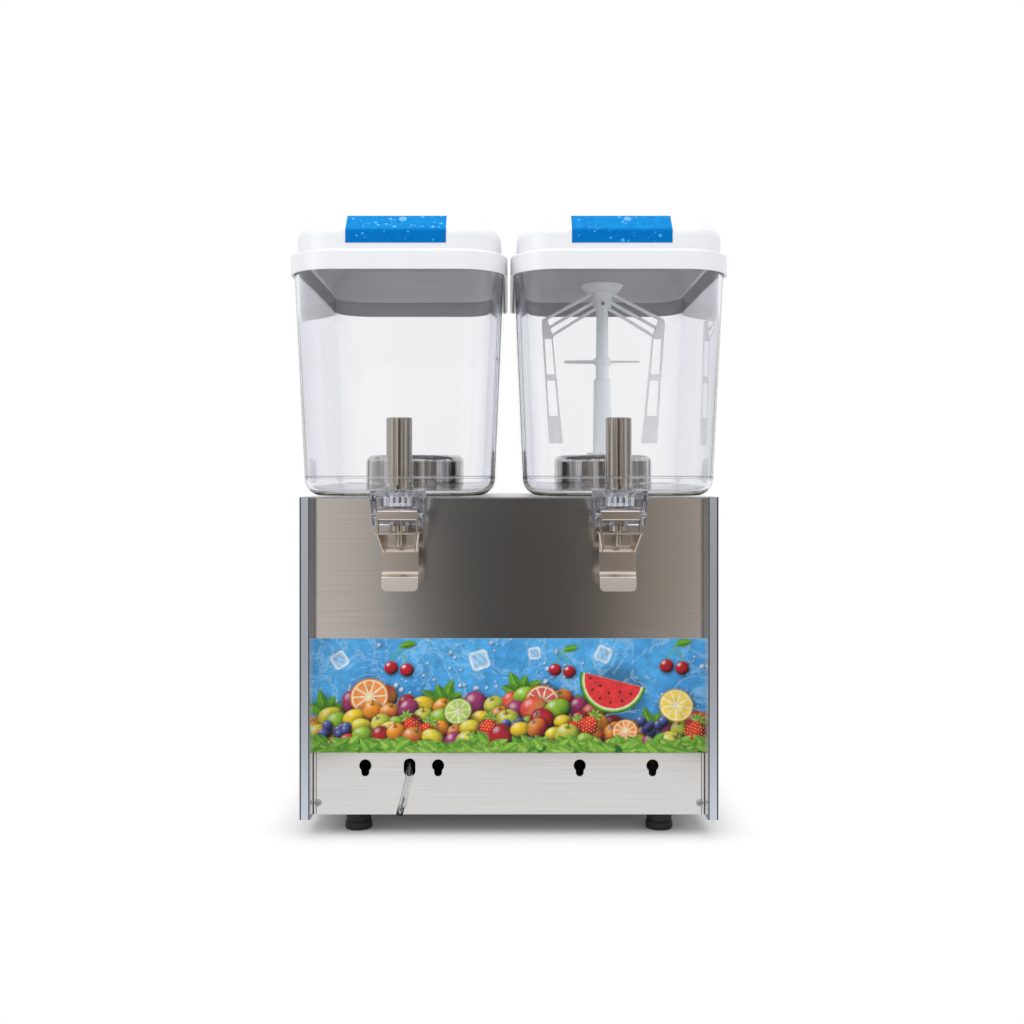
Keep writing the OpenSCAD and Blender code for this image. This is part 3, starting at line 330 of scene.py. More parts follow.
def piece(name, bm, materials, body, nodes, smooth=35):
    """A dressed piece with one material or several, on its body and in place of its solids."""
    limit = math.radians(smooth)
    bm.normal_update()
    for f in bm.faces:
        f.smooth = True
    for e in bm.edges:
        e.smooth = len(e.link_faces) == 2 and e.calc_face_angle() < limit
    obj = placed(name, bm, *(materials if isinstance(materials, tuple) else (materials,)))
    obj.modifiers.new("even shading", "WEIGHTED_NORMAL").keep_sharp = True
    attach(obj, body)
    if nodes:
        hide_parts(*nodes)


def flattened(bm, near):
    """Merges close points and joins faces that lie in one plane."""
    bmesh.ops.remove_doubles(bm, verts=bm.verts, dist=near)
    bmesh.ops.dissolve_limit(bm, angle_limit=math.radians(1), verts=bm.verts, edges=bm.edges)


def from_solid(node, radius=0.0004, segments=2):
    """A merged copy of a solid with its sharp edges softened."""
    bm = bmesh.new()
    bm.from_mesh(NODES[node].data)
    flattened(bm, MERGE)
    return rounded(bm, creases(bm, 50), radius, segments, False)


# Shared shader effects

def add_node(tree, kind, **settings):
    node = tree.nodes.new("ShaderNode" + kind)
    for key, value in settings.items():
        setattr(node, key, value)
    return node


def feed(tree, node, values):
    """Each (socket, value) is linked where the value is a socket, and set where it is a number or colour."""
    for index, value in values:
        if hasattr(value, "node"):
            tree.links.new(value, node.inputs[index])
        else:
            node.inputs[index].default_value = value


def mix_colour(tree, factor, a, b, blend="MIX"):
    node = add_node(tree, "Mix", data_type="RGBA", blend_type=blend)
    feed(tree, node, ((0, factor), (6, a), (7, b)))
    return node.outputs[2]


def mix_shader(tree, factor, a, b, out):
    blend = add_node(tree, "MixShader")
    feed(tree, blend, ((0, factor), (1, a.outputs[0]), (2, b.outputs[0])))
    tree.links.new(blend.outputs[0], tree.nodes[out].inputs["Surface"])


def maths(tree, operation, a, b=0.0, c=0.0):
    node = add_node(tree, "Math", operation=operation)
    feed(tree, node, enumerate((a, b, c)))
    return node.outputs[0]


def times(tree, a, b):
    return maths(tree, "MULTIPLY", a, b)


def minus(tree, a, b):
    return maths(tree, "SUBTRACT", a, b)


def scaled(tree, value, by, plus):
    return maths(tree, "MULTIPLY_ADD", value, by, plus)


def vectors(tree, operation, a, **more):
    """A vector node and what it gives; more names its other sockets."""
    node = add_node(tree, "VectorMath", operation=operation)
    feed(tree, node, ((0, a), *((1 if key == "by" else key, value) for key, value in more.items())))
    return node.outputs[0]


def ranged(tree, value, low, high, to_low=0.0, to_high=1.0):
    node = add_node(tree, "MapRange", interpolation_type="SMOOTHSTEP")
    feed(tree, node, enumerate((value, low, high, to_low, to_high)))
    return node.outputs[0]


def noise(tree, vector, scale, detail=4.0, rough=0.5, twist=0.0):
    node = add_node(tree, "TexNoise")
    feed(tree, node, (("Vector", vector), ("Scale", scale), ("Detail", detail), ("Roughness", rough),
                      ("Distortion", twist)))
    return node.outputs[0]


def object_place(tree):
    return add_node(tree, "TexCoord").outputs["Object"]


def split(tree, vector):
    """The three parts of a vector."""
    node = add_node(tree, "SeparateXYZ")
    tree.links.new(vector, node.inputs[0])
    return node.outputs


def effect_group(name, **inputs):
    """A group with named inputs, which gives a colour, a roughness and a height."""
    tree = bpy.data.node_groups.new(name, "ShaderNodeTree")
    outputs = {"Colour": "Color", "Roughness": "Float", "Height": "Float"}
    for side, sockets in (("INPUT", inputs), ("OUTPUT", outputs)):
        for socket, kind in sockets.items():
            tree.interface.new_socket(socket, in_out=side, socket_type="NodeSocket" + kind)
    return tree, tree.nodes.new("NodeGroupInput").outputs, tree.nodes.new("NodeGroupOutput")


def make_grain_group():
    """Fine mottled grain: colour, roughness and height that vary over a moulded or cast surface."""
    tree, given, out = effect_group(
        "fine grain", Colour="Color", Scale="Float", Shade="Float", Roughness="Float", Spread="Float")
    place = object_place(tree)
    fine = noise(tree, place, given["Scale"], 5)
    wide = noise(tree, place, 14)
    off = minus(tree, times(tree, maths(tree, "ADD", fine, wide), 0.5), 0.5)
    darker = mix_colour(tree, 1.0, given["Colour"], (0.55, 0.55, 0.55, 1), "MULTIPLY")
    amount = times(tree, scaled(tree, off, 3.0, 0.5), given["Shade"])
    feed(tree, out, (
        ("Colour", mix_colour(tree, amount, given["Colour"], darker)),
        ("Roughness", scaled(tree, off, given["Spread"], given["Roughness"])),
        ("Height", fine),
    ))
    return tree


def make_brushed_group():
    """Long fine lines drawn out along one axis, as on brushed or drawn metal, up to a height; set strong and
    broad, they are painted streaks of reflection.
    """
    tree, given, out = effect_group(
        "brushed lines", Colour="Color", Stretch="Vector", Dark="Color", Shade="Float", Roughness="Float",
        Spread="Float", End="Float")
    place = object_place(tree)
    below = maths(tree, "LESS_THAN", split(tree, place)[2], given["End"])
    lines = noise(tree, vectors(tree, "MULTIPLY", place, by=given["Stretch"]), 1, 6, 0.7)
    off = times(tree, minus(tree, lines, 0.5), below)
    soft = minus(tree, noise(tree, place, 9, 3), 0.5)
    darker = mix_colour(tree, 1.0, given["Colour"], given["Dark"], "MULTIPLY")
    amount = times(tree, scaled(tree, off, 2.5, 0.5), given["Shade"])
    both = scaled(tree, soft, 0.5, off)
    feed(tree, out, (
        ("Colour", mix_colour(tree, amount, given["Colour"], darker)),
        ("Roughness", scaled(tree, both, given["Spread"], given["Roughness"])),
        ("Height", times(tree, lines, below)),
    ))
    return tree


GRAIN = make_grain_group()
BRUSHED = make_brushed_group()
NO_END = 9.0


# Finishes

def new_material(name, **sockets):
    mat = bpy.data.materials.new(name)
    mat.use_nodes = True
    shader = mat.node_tree.nodes["Principled BSDF"]
    for key, value in sockets.items():
        shader.inputs[key.replace("_", " ")].default_value = value
    return mat, mat.node_tree, shader


def finish_with(name, group, values, bump, distance=0.0002, **sockets):
    """A Principled material whose colour, roughness and bump come from a shared effect."""
    mat, tree, shader = new_material(name, **sockets)
    effect = add_node(tree, "Group", node_tree=group)
    feed(tree, effect, values.items())
    feed(tree, shader, (("Base Color", effect.outputs["Colour"]), ("Roughness", effect.outputs["Roughness"])))
    if bump:
        relief = add_node(tree, "Bump")
        feed(tree, relief, (("Strength", bump), ("Distance", distance), ("Height", effect.outputs["Height"])))
        tree.links.new(relief.outputs[0], shader.inputs["Normal"])
    return mat


def moulded(name, colour, roughness, scale=500, shade=0.08, spread=0.12, bump=0.08, **sockets):
    values = {"Colour": (*colour, 1), "Scale": scale, "Shade": shade, "Roughness": roughness, "Spread": spread}
    return finish_with(name, GRAIN, values, bump, **sockets)


def brushed(name, colour, roughness, stretch, shade=0.25, spread=0.25, bump=0.05,
            dark=(0.6, 0.59, 0.58), end=NO_END, metal=1.0):
    values = {"Colour": (*colour, 1), "Stretch": stretch, "Dark": (*dark, 1), "Shade": shade,
              "Roughness": roughness, "Spread": spread, "End": end}
    return finish_with(name, BRUSHED, values, bump, Metallic=metal)


def clear_plastic(name, tint, edge, roughness=0.02, ior=1.34, clear=1.0):
    """See-through moulding with faint flow marks in its gloss, which lets light through to what is behind it; its
    edge colour is painted shade where it is seen at a slant.
    """
    values = {"Colour": (*tint, 1), "Scale": 30, "Shade": 0.0, "Roughness": roughness, "Spread": 0.03}
    mat = finish_with(name, GRAIN, values, 0.02, 0.0004, Transmission_Weight=clear, IOR=ior)
    tree, shader = mat.node_tree, mat.node_tree.nodes["Principled BSDF"]
    # Painted shade: the colour turns to the darker edge colour where the surface is seen at a slant
    facing = add_node(tree, "LayerWeight")
    facing.inputs["Blend"].default_value = 0.35
    plain = shader.inputs["Base Color"].links[0].from_socket
    tree.links.new(mix_colour(tree, facing.outputs["Facing"], plain, (*edge, 1)), shader.inputs["Base Color"])
    passing = add_node(tree, "BsdfTransparent")
    passing.inputs[0].default_value = (0.99, 0.99, 0.99, 1)
    shadow = add_node(tree, "LightPath").outputs["Is Shadow Ray"]
    mix_shader(tree, shadow, shader, passing, "Material Output")
    return mat


def blue_film(name, top, low):
    """Printed film with painted light, lighter where it leans back, and soft clouding."""
    mat, tree, shader = new_material(name, Roughness=0.5, Specular_IOR_Level=0.03)
    place = object_place(tree)
    # Painted light: the colour goes from the lower one to the lighter top one where the film leans back
    lean = ranged(tree, split(tree, place)[2], *LABEL_PAINTED_LIGHT_RISE)
    colour = mix_colour(tree, lean, (*low, 1), (*top, 1))
    cloud = ranged(tree, noise(tree, place, 160, 5), 0.35, 0.75)
    colour = mix_colour(tree, times(tree, cloud, 0.55), colour, (0.0, 0.13, 0.45, 1))
    tree.links.new(colour, shader.inputs["Base Color"])
    return mat


def tinted_print(name):
    """Glossy print whose colours are carried by the mesh; the water in it gets light ripples."""
    mat, tree, shader = new_material(name, Roughness=0.35, Specular_IOR_Level=0.35)
    place = object_place(tree)
    tint = add_node(tree, "Attribute", attribute_name="tint")
    level = scaled(tree, noise(tree, place, 110, 5), 0.7, 0.28)
    level = scaled(tree, noise(tree, place, 420, 3), 0.4, level)
    lit = vectors(tree, "SCALE", tint.outputs["Color"], Scale=level)
    ridge = maths(tree, "ABSOLUTE", minus(tree, noise(tree, place, 26, 6, 0.62, 1.2), 0.5))
    ripple = times(tree, ranged(tree, ridge, 0.0, 0.035, 1.0, 0.0), tint.outputs["Alpha"])
    colour = mix_colour(tree, times(tree, ripple, 0.30), lit, (0.50, 0.74, 0.92, 1))
    tree.links.new(colour, shader.inputs["Base Color"])
    return mat


# Scale of the brushed lines along each axis, small where the lines run
ALONG_X = (7, 7, 1500)
ALONG_Y = (1500, 7, 1500)
DECK_LINES = (7, 1500, 7)
LEVER_LINES = (7, 900, 900)
UPRIGHT = (1500, 1500, 7)

STEEL = brushed("brushed steel", (0.71, 0.695, 0.68), 0.17, ALONG_X, shade=0.28, spread=0.10, bump=0.006)
SIDE_STEEL = brushed("brushed side steel", (0.60, 0.59, 0.58), 0.32, ALONG_Y)
DECK_STEEL = brushed("brushed deck steel", (0.62, 0.61, 0.60), 0.30, DECK_LINES)
# The lever steel's warm brown tint is partly its own colour and partly painted reflection of a brown room
LEVER_STEEL = brushed("satin lever steel", (0.79, 0.72, 0.655), 0.25, LEVER_LINES, 0.12, 0.10, 0.008)
# Besides its drawn lines, the broad dark brown streaks on this steel are painted reflection of a dark room
BRIGHT_STEEL = brushed("turned steel with painted reflection streaks", (0.78, 0.74, 0.68), 0.10, (420, 420, 5), 0.9, 0.12, 0.05,
                       dark=(0.32, 0.29, 0.25), end=0.4236)
# The dark vertical streaks on the domes are painted reflection of a dark room
DOME_STEEL = brushed("dome steel with painted reflection streaks", (0.82, 0.81, 0.80), 0.12, (230, 230, 6), 0.95, 0.15, 0.03,
                     dark=(0.34, 0.33, 0.32), end=DOME_TOP - 0.0004)
POST_METAL = brushed("satin post aluminium", (0.68, 0.73, 0.82), 0.40, UPRIGHT, shade=0.15, spread=0.15)
POST_MIRROR = brushed("polished post aluminium", (0.84, 0.82, 0.81), 0.16, UPRIGHT, 0.1, 0.05, 0.005, metal=0.72)
# Painted shade: faces inside the narrow grooves of the posts and the lower panel are made dark where shade falls
JOINT_SHADE = brushed("painted shade in grooves", (0.07, 0.07, 0.075), 0.5, UPRIGHT, shade=0.15, spread=0.15)
ZINC = moulded("zinc sheet", (0.42, 0.44, 0.45), 0.45, scale=60, shade=0.3, Metallic=0.8)
FINS = moulded("condenser aluminium", (0.55, 0.56, 0.58), 0.4, scale=200, Metallic=0.9)
RUBBER = moulded("black rubber", (0.012, 0.012, 0.014), 0.62, scale=900, shade=0.3, bump=0.2)
ENAMEL = moulded("black enamel", (0.01, 0.01, 0.012), 0.3, scale=300)
BLACK = moulded("black plastic", (0.013, 0.013, 0.015), 0.42, scale=1200, shade=0.2, bump=0.15)
GREY = moulded("grey plastic", (0.42, 0.42, 0.43), 0.45)
WHITE = moulded("white plastic", (0.77, 0.775, 0.80), 0.3, 350, 0.02, 0.06, 0.0, Coat_Weight=0.15)
NATURAL = moulded("natural plastic", (0.95, 0.95, 0.955), 0.40, scale=400, shade=0.03, Subsurface_Weight=0.15)
SILICONE = moulded("pale silicone", (0.62, 0.63, 0.65), 0.45, scale=700)
COPPER = moulded("copper pipe", (0.55, 0.24, 0.12), 0.32, scale=120, shade=0.4, Metallic=1.0)
BRONZE = moulded("bronze bush", (0.45, 0.28, 0.10), 0.4, Metallic=1.0)
RED = moulded("red rocker", (0.50, 0.015, 0.012), 0.25)
# The second colour of each clear plastic is painted shade at its slanting edges
TANK_CLEAR = clear_plastic("clear tank plastic", (0.96, 0.96, 0.97), (0.70, 0.72, 0.81))
SPOUT_CLEAR = clear_plastic("clear spout plastic", (0.86, 0.88, 0.94), (0.52, 0.56, 0.72))
SPOUT_RIBS = clear_plastic("milky rib plastic", (0.84, 0.86, 0.91), (0.66, 0.69, 0.80), 0.15, clear=0.62)
HOSE_CLEAR = clear_plastic("clear hose", (0.95, 0.96, 0.97), (0.70, 0.72, 0.78), 0.01, 1.27)
# The lighter top colour is painted light on the part of the film that leans back
FILM = blue_film("blue film", (0.001, 0.245, 0.60), (0.001, 0.155, 0.48))
DROP = moulded("printed drops", (0.02, 0.34, 0.82), 0.10, scale=900, shade=0.2, bump=0.0)
PRINT = tinted_print("picture print")


# Drain hose

HOSE_R = 0.0035
HOSE_WALL = 0.0009
HOSE_X = -0.101
HOSE_ROUTE = [(HOSE_X, -0.074, round(0.328 - 0.020 * i, 3)) for i in range(11)] + [
    (HOSE_X, -0.075, 0.116), (HOSE_X, -0.078, 0.105), (HOSE_X, -0.083, 0.095), (HOSE_X, -0.091, 0.086),
    (HOSE_X, -0.100, 0.077), (HOSE_X, -0.108, 0.069), (HOSE_X - 0.001, -0.115, 0.060),
    (HOSE_X - 0.003, -0.120, 0.050), (HOSE_X - 0.006, -0.123, 0.039), (HOSE_X - 0.009, -0.125, 0.027),
]


def add_hose():
    data = bpy.data.curves.new("drain_hose_line", "CURVE")
    data.dimensions = "3D"
    data.bevel_depth = HOSE_R
    data.bevel_resolution = 6
    data.resolution_u = 6
    line = data.splines.new("POLY")
    line.points.add(len(HOSE_ROUTE) - 1)
    for point, place in zip(line.points, HOSE_ROUTE):
        point.co = (*place, 1)
    data.materials.append(HOSE_CLEAR)
    hose = bpy.data.objects.new("clear_drain_hose", data)
    SCENE.collection.objects.link(hose)
    add_wall(hose, HOSE_WALL)
    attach(hose, "cabinet")
    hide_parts("drain_hose")


# Tanks and spouts

TANK_HALF = (0.1025, 0.167)
TANK_FLOOR_HALF = (0.0927, 0.1572)
TANK_CORNER_R = 0.041
TANK_FLOOR_R = 0.016
BEAD = (TANK_Z + 0.0172, TANK_Z + 0.0186)
BEAD_H = 0.0003
SPOUT_W = 0.054
SPOUT_FOOT_W = 0.047
SPOUT_LOW = TANK_Z - 0.029
SPOUT_MIDDLE = TANK_Z - 0.02
SPOUT_TOP = TANK_Z + 0.0035
SPOUT_Y = (TAP_Y - 0.027, TAP_Y + 0.022)
RECESS_HALF_W = 0.020
RECESS_R = 0.0077
POCKET_HALF_W = 0.0165
POCKET_BACK = TAP_Y - 0.0237
POCKET_Z = (PIVOT.z + 0.0088, TANK_Z - 0.0006)
RIB_R = 0.0017
RIB_Y = TAP_Y - 0.0243
RIB_STEP = 0.0056
RIB_LOW = PIVOT.z + 0.0083
BORE_R = 0.0133
BORE_MOUTH_R = 0.0185
OUTLET_R = 0.0091
DOME_HOLE_R = 0.0586
# Half length of the tools that cut right through a tap
TOOL_HALF = 0.03


def inset(bm, faces, thickness, depth=0.0):
    bmesh.ops.inset_region(bm, faces=faces, thickness=thickness, depth=depth, use_even_offset=True)


def opened(bm, up):
    """Takes away the faces that look up, or down where up is minus one."""
    bmesh.ops.delete(bm, geom=[f for f in bm.faces if up * f.normal.z > 0.9], context="FACES_ONLY")


def tank_shell(x):
    wide, deep = TANK_HALF
    bm = block((x - wide, TANK_Y - deep, TANK_Z), (x + wide, TANK_Y + deep, RIM_Z))
    bottom = [v for v in bm.verts if v.co.z < TANK_Z + 0.001]
    taper = Matrix.Diagonal((TANK_FLOOR_HALF[0] / wide, TANK_FLOOR_HALF[1] / deep, 1)).to_4x4()
    bmesh.ops.transform(bm, matrix=taper, space=Matrix.Translation((-x, -TANK_Y, 0)), verts=bottom)
    opened(bm, 1)
    rounded(bm, edges_along(bm, 2), TANK_CORNER_R, 12)
    floor = max(bm.faces, key=lambda f: -f.normal.z)
    rounded(bm, floor.edges[:], TANK_FLOOR_R, 7)
    for z in BEAD:
        sliced(bm, (0, 0, z), (0, 0, 1))
    inset(bm, [f for f in bm.faces if BEAD[0] < f.calc_center_median().z < BEAD[1]], BEAD_H, BEAD_H)
    return walled(bm, TANK_WALL)


def rib_places(x):
    return [x + step * RIB_STEP for step in (-2, -1, 0, 1, 2)]


def spout_body(x):
    """Tapered block under the tank's front, ribbed above the lever's recess."""
    half = SPOUT_W / 2
    bm = block((x - half, SPOUT_Y[0], SPOUT_LOW), (x + half, SPOUT_Y[1], SPOUT_TOP))
    low = [v for v in bm.verts if v.co.z < SPOUT_MIDDLE]
    bmesh.ops.scale(bm, vec=(SPOUT_FOOT_W / SPOUT_W, 1, 1), space=Matrix.Translation((-x, 0, 0)), verts=low)
    rounded(bm, edges_along(bm, 2), 0.003, 4)
    rounded(bm, [e for e in creases(bm) if all(v.co.z < SPOUT_MIDDLE for v in e.verts)], 0.0015, 3)
    front = TAP_Y - 0.03
    recess = block((x - RECESS_HALF_W, front, TANK_Z - 0.032),
                   (x + RECESS_HALF_W, PIVOT.y + RECESS_R, PIVOT.z + RECESS_R))
    rounded(recess, edges_along(recess, 0), 0.002, 3)
    pocket = block((x - POCKET_HALF_W, front, POCKET_Z[0]), (x + POCKET_HALF_W, POCKET_BACK, POCKET_Z[1]))
    ribs = [rod(RIB_R, RIB_LOW, TANK_Z, (place, RIB_Y, 0), steps=24) for place in rib_places(x)]
    return welded(carved(bm, [recess, pocket]), ribs)


def pin_hole(x, steps):
    return rod(PIN_HOLE_R, -TOOL_HALF, TOOL_HALF, (x, PIVOT.y, PIVOT.z), "X", steps)


def add_tank(side, x):
    whole = welded(tank_shell(x), [spout_body(x)])
    hole = rod(DOME_HOLE_R, TANK_Z - 0.01, TANK_Z + 0.02, (x, DOME_Y, 0), steps=72)
    bore = turned([
        (0, TANK_Z - 0.010), (BORE_R, TANK_Z - 0.010), (BORE_R, TANK_Z - 0.0015),
        (BORE_MOUTH_R, TANK_Z + 0.0037), (BORE_MOUTH_R, TANK_Z + 0.03), (0, TANK_Z + 0.03),
    ], (x, TAP_Y, 0), steps=48)
    outlet = rod(OUTLET_R, TANK_Z - 0.04, TANK_Z - 0.005, (x, TAP_Y, 0))
    whole = carved(whole, [hole, bore, outlet, pin_hole(x, 24)])

    def is_milky(face, mid):
        in_mouth = mid.z > TANK_Z - 0.0014 and math.hypot(mid.x - x, mid.y - TAP_Y) < BORE_MOUTH_R + 2e-4
        on_rib = any(math.hypot(mid.x - place, mid.y - RIB_Y) < RIB_R + 1e-4 for place in rib_places(x))
        return in_mouth or on_rib and abs(face.normal.z) < 0.3

    marked(whole, 1, lambda f, mid: mid.z < TANK_Z - 0.0004 and mid.y < TAP_Y + 0.023)
    marked(whole, 2, is_milky)
    body = f"{side}_tank_unit"
    finishes = (TANK_CLEAR, SPOUT_CLEAR, SPOUT_RIBS)
    piece(f"{side}_clear_tank", whole, finishes, body, [f"{side}_tank"], 30)
    half, r, edge = 0.024, 0.0025, 0.0004
    pin = turned([(0, -half), (r - edge, -half), (r, edge - half), (r, half - edge), (r - edge, half), (0, half)],
                 (x, PIVOT.y, PIVOT.z), "X", 32)
    piece(f"{side}_bright_hinge_pin", pin, BRIGHT_STEEL, body, [f"{side}_hinge_pin"])


# Lids and labels

LID_HALF_W = 0.1055
LID_Y = (-0.200, 0.140)
LID_Z = (RIM_Z - 0.016, RIM_Z + 0.0025)
LID_CORNER_R = 0.047
LID_WALL = 0.0025
LID_EDGES = {0.0025: (0.0022, 3), 0.022: (0.005, 4), 0.039: (0.006, 4)}
# Drops on a label: how many, the largest, how far they spread across and up, and the fold kept free
DROPS = 60
BIG_DROP = (0.006, 0.029, 0.0042)
DROP_ACROSS = (-0.0455, 0.0455)
DROP_UP = (0.001, 0.0342)
DROP_GAP = 0.0002
FOLD_FREE = (0.0125, 0.0137)
FOLD_MIDDLE = 0.013
FOLD_UP = 0.0126
SLOPE = math.sqrt(0.5)


def add_lid(side, x):
    bm = block((x - LID_HALF_W, LID_Y[0], LID_Z[0]), (x + LID_HALF_W, LID_Y[1], LID_Z[1]))
    rounded(bm, edges_along(bm, 2), LID_CORNER_R, 14)
    opened(bm, -1)
    top = max(bm.faces, key=lambda f: f.normal.z * f.calc_area())
    for thickness, depth in ((0.006, 0.0), (0.0001, 0.0195), (0.017, 0.017)):
        inset(bm, [top], thickness, depth)
    for height, (radius, segments) in LID_EDGES.items():
        ring = [e for e in creases(bm, 20) if all(abs(v.co.z - RIM_Z - height) < 2e-4 for v in e.verts)]
        rounded(bm, ring, radius, segments)
    shell = walled(bm, LID_WALL)
    piece(f"{side}_white_lid", shell, WHITE, f"{side}_lid_unit", [f"{side}_lid"], 40)


def add_label(side, x, seed):
    body = f"{side}_lid_unit"
    path = [(LABEL_Y, LABEL_LOW), (LABEL_Y, LABEL_FOLD), (LABEL_Y + LABEL_RUN, LABEL_FOLD + LABEL_RUN)]
    bm = folded_sheet(path, LABEL_T, LABEL_W, x, 0.002)
    piece(f"{side}_blue_label", bm, FILM, body, [f"{side}_lid_label"], 60)
    lots = random.Random(seed)
    taken = [BIG_DROP]
    while len(taken) < DROPS:
        r = 0.0004 + 0.0017 * lots.random() ** 3
        u, v = lots.uniform(*DROP_ACROSS), lots.uniform(*DROP_UP)
        apart = all(math.hypot(u - a, v - b) > r + c + DROP_GAP for a, b, c in taken)
        if apart and not FOLD_FREE[0] - r < v < FOLD_FREE[1] + r:
            taken.append((u, v, r))
    beads = []
    for u, v, r in taken:
        bead = bmesh.new()
        bmesh.ops.create_uvsphere(bead, u_segments=14, v_segments=8, radius=r)
        bmesh.ops.scale(bead, vec=(1, 0.3, lots.uniform(0.85, 1.05)), verts=bead.verts)
        if v < FOLD_MIDDLE:
            shifted(bead, (x + u, LABEL_Y - 0.0002, LABEL_LOW + v))
        else:
            run = (v - FOLD_UP) * SLOPE
            shifted(spun(bead, -45, "X"), (x + u, LABEL_Y + run - 0.00014, LABEL_FOLD + run + 0.00014))
        beads.append(bead)
    piece(f"{side}_label_drops", joined(*beads), DROP, body, (), 60)


# Taps

LEVER_PATH = [
    (-0.14225, 0.3121), (-0.14225, 0.2975), (-0.14563, 0.2948), (-0.14625, 0.2921), (-0.14625, 0.2734),
    (-0.14699, 0.2702), (-0.15075, 0.2676), (-0.15325, 0.254),
]
SHELF_HALF_W = 0.0215
SHELF_Y = (-0.180, -0.1415)
KNUCKLE_R = 0.0062
KNUCKLE_FLAT = 0.0049
KNUCKLE_W = 0.0388
STEM_SLOT_R = 0.0046
STEM_SLOT_RUN = 0.0045
GUSSET_X = 0.0135
GUSSET_TURN = 11.5
GUSSET_RUN = (0.034, 0.014)
ARM_X = 0.01895
ARM_HALF = (0.0058, 0.005)
SEAM_Y = (PIVOT.y + 0.0035, PIVOT.y + 0.0039)
SEAM_Z = (PIVOT.z - 0.0062, PIVOT.z - 0.003)


def lever_strip(x):
    """The folded push plate, with rounded corners at its foot."""
    strip = folded_sheet(LEVER_PATH, LEVER_T, LEVER_W, x, 0.0008)
    corners = [e for e in strip.edges if abs(e.verts[0].co.x - e.verts[1].co.x) < SAME
               and all(reach(v.co, LEVER_PATH[-1]) < 1.2 * LEVER_T for v in e.verts)]
    rounded(strip, corners, 0.005, 6)
    return soft_edges(strip)


def lever_knuckle(x):
    """The rolled knuckle round the pin, flat in front."""
    open_turn = 180 - math.degrees(math.acos(KNUCKLE_FLAT / KNUCKLE_R))
    section = arc(PIVOT.y, PIVOT.z, KNUCKLE_R, -open_turn, open_turn, 24)
    knuckle = plate(section, KNUCKLE_W, "YZ", x)
    front = edges_along(knuckle, 0, lambda m: m.y < PIVOT.y - KNUCKLE_FLAT + SAME)
    return soft_edges(rounded(knuckle, front, 0.0005, 3))


def add_lever(side, x):
    shelf = block((x - SHELF_HALF_W, SHELF_Y[0], SHELF_Z - LEVER_T), (x + SHELF_HALF_W, SHELF_Y[1], SHELF_Z))
    rounded(shelf, edges_along(shelf, 2), 0.003, 4)
    parts = [soft_edges(shelf)]
    top, foot, under = SHELF_Z - 0.00075, SHELF_Z - 0.019, SHELF_Z - LEVER_T
    for turn in (-1, 1):
        gusset = plate([(-GUSSET_RUN[0], top), (0, top), (0, foot), (-GUSSET_RUN[1], foot)], LEVER_T)
        rounded(gusset, edges_along(gusset, 0, lambda m: m.y < -0.01 and m.z < SHELF_Z - 0.01), 0.004, 4)
        spun(soft_edges(gusset), turn * GUSSET_TURN, "Z")
        parts.append(shifted(gusset, (x + turn * GUSSET_X, LEVER_PATH[0][0], 0)))
        wide, narrow = ARM_HALF
        arm = [(PIVOT.y - wide, PIVOT.z), (PIVOT.y + wide, PIVOT.z), (PIVOT.y + narrow, under),
               (PIVOT.y - narrow, under)]
        parts.append(plate(arm, LEVER_T, "YZ", x + turn * ARM_X))
    whole = welded(lever_strip(x), parts + [lever_knuckle(x)])
    low, high, back = SHELF_Z - 0.004, SHELF_Z + 0.003, TAP_Y - STEM_SLOT_RUN
    slot = block((x - STEM_SLOT_R, back, low), (x + STEM_SLOT_R, TAP_Y, high))
    slot = welded(slot, [rod(STEM_SLOT_R, low, high, (x, y, 0)) for y in (back, TAP_Y)])
    seam = block((x - TOOL_HALF, SEAM_Y[0], SEAM_Z[0]), (x + TOOL_HALF, SEAM_Y[1], SEAM_Z[1]))
    whole = carved(whole, [slot, pin_hole(x, 32), seam])
    piece(f"{side}_folded_lever", whole, LEVER_STEEL, f"{side}_lever_unit", [f"{side}_lever"], 30)


def add_valve(side, x):
    body, centre = f"{side}_valve", (x, TAP_Y, 0)
    low, high, r, wall = 0.341, 0.424, 0.0127, 0.0015
    tube = turned(
        [(0, high)] + arc(r - 0.001, high - 0.001, 0.001, 90, 0, 4) + [
            (r, low + 0.0003), (r - 0.0003, low), (r - wall, low), (r - wall, high - 0.002), (0, high - 0.002),
        ], centre)
    notch = [(-0.0012, 0.358), (0.0012, 0.358), (0.001, 0.3545), (0, 0.352), (-0.001, 0.3545)]
    tube = carved(tube, [shifted(plate(notch, 0.006, "XZ", -r), centre)])
    piece(f"{side}_valve_tube", tube, BRIGHT_STEEL, body, [f"{side}_valve_piston"])
    stem = turned([
        (0.0026, 0.299), (0.0034, 0.299), (0.0037, 0.2994), (0.0037, 0.3128), (0.0082, 0.3128), (0.0085, 0.3131),
        (0.0085, 0.3185), (0.0081, 0.3189), (0.0081, 0.3199), (0.0085, 0.3203), (0.0085, 0.341),
        (0.0111, 0.341), (0.0111, 0.347), (0.0026, 0.347),
    ], centre, closed=True)
    piece(f"{side}_hollow_stem", stem, BRIGHT_STEEL, body, [f"{side}_valve_stem"])


# Cold domes and stirrer

DOME_EDGE_R = 0.008
DOME_FLANGE = 0.012
SHAFT_HOLE_R = 0.006


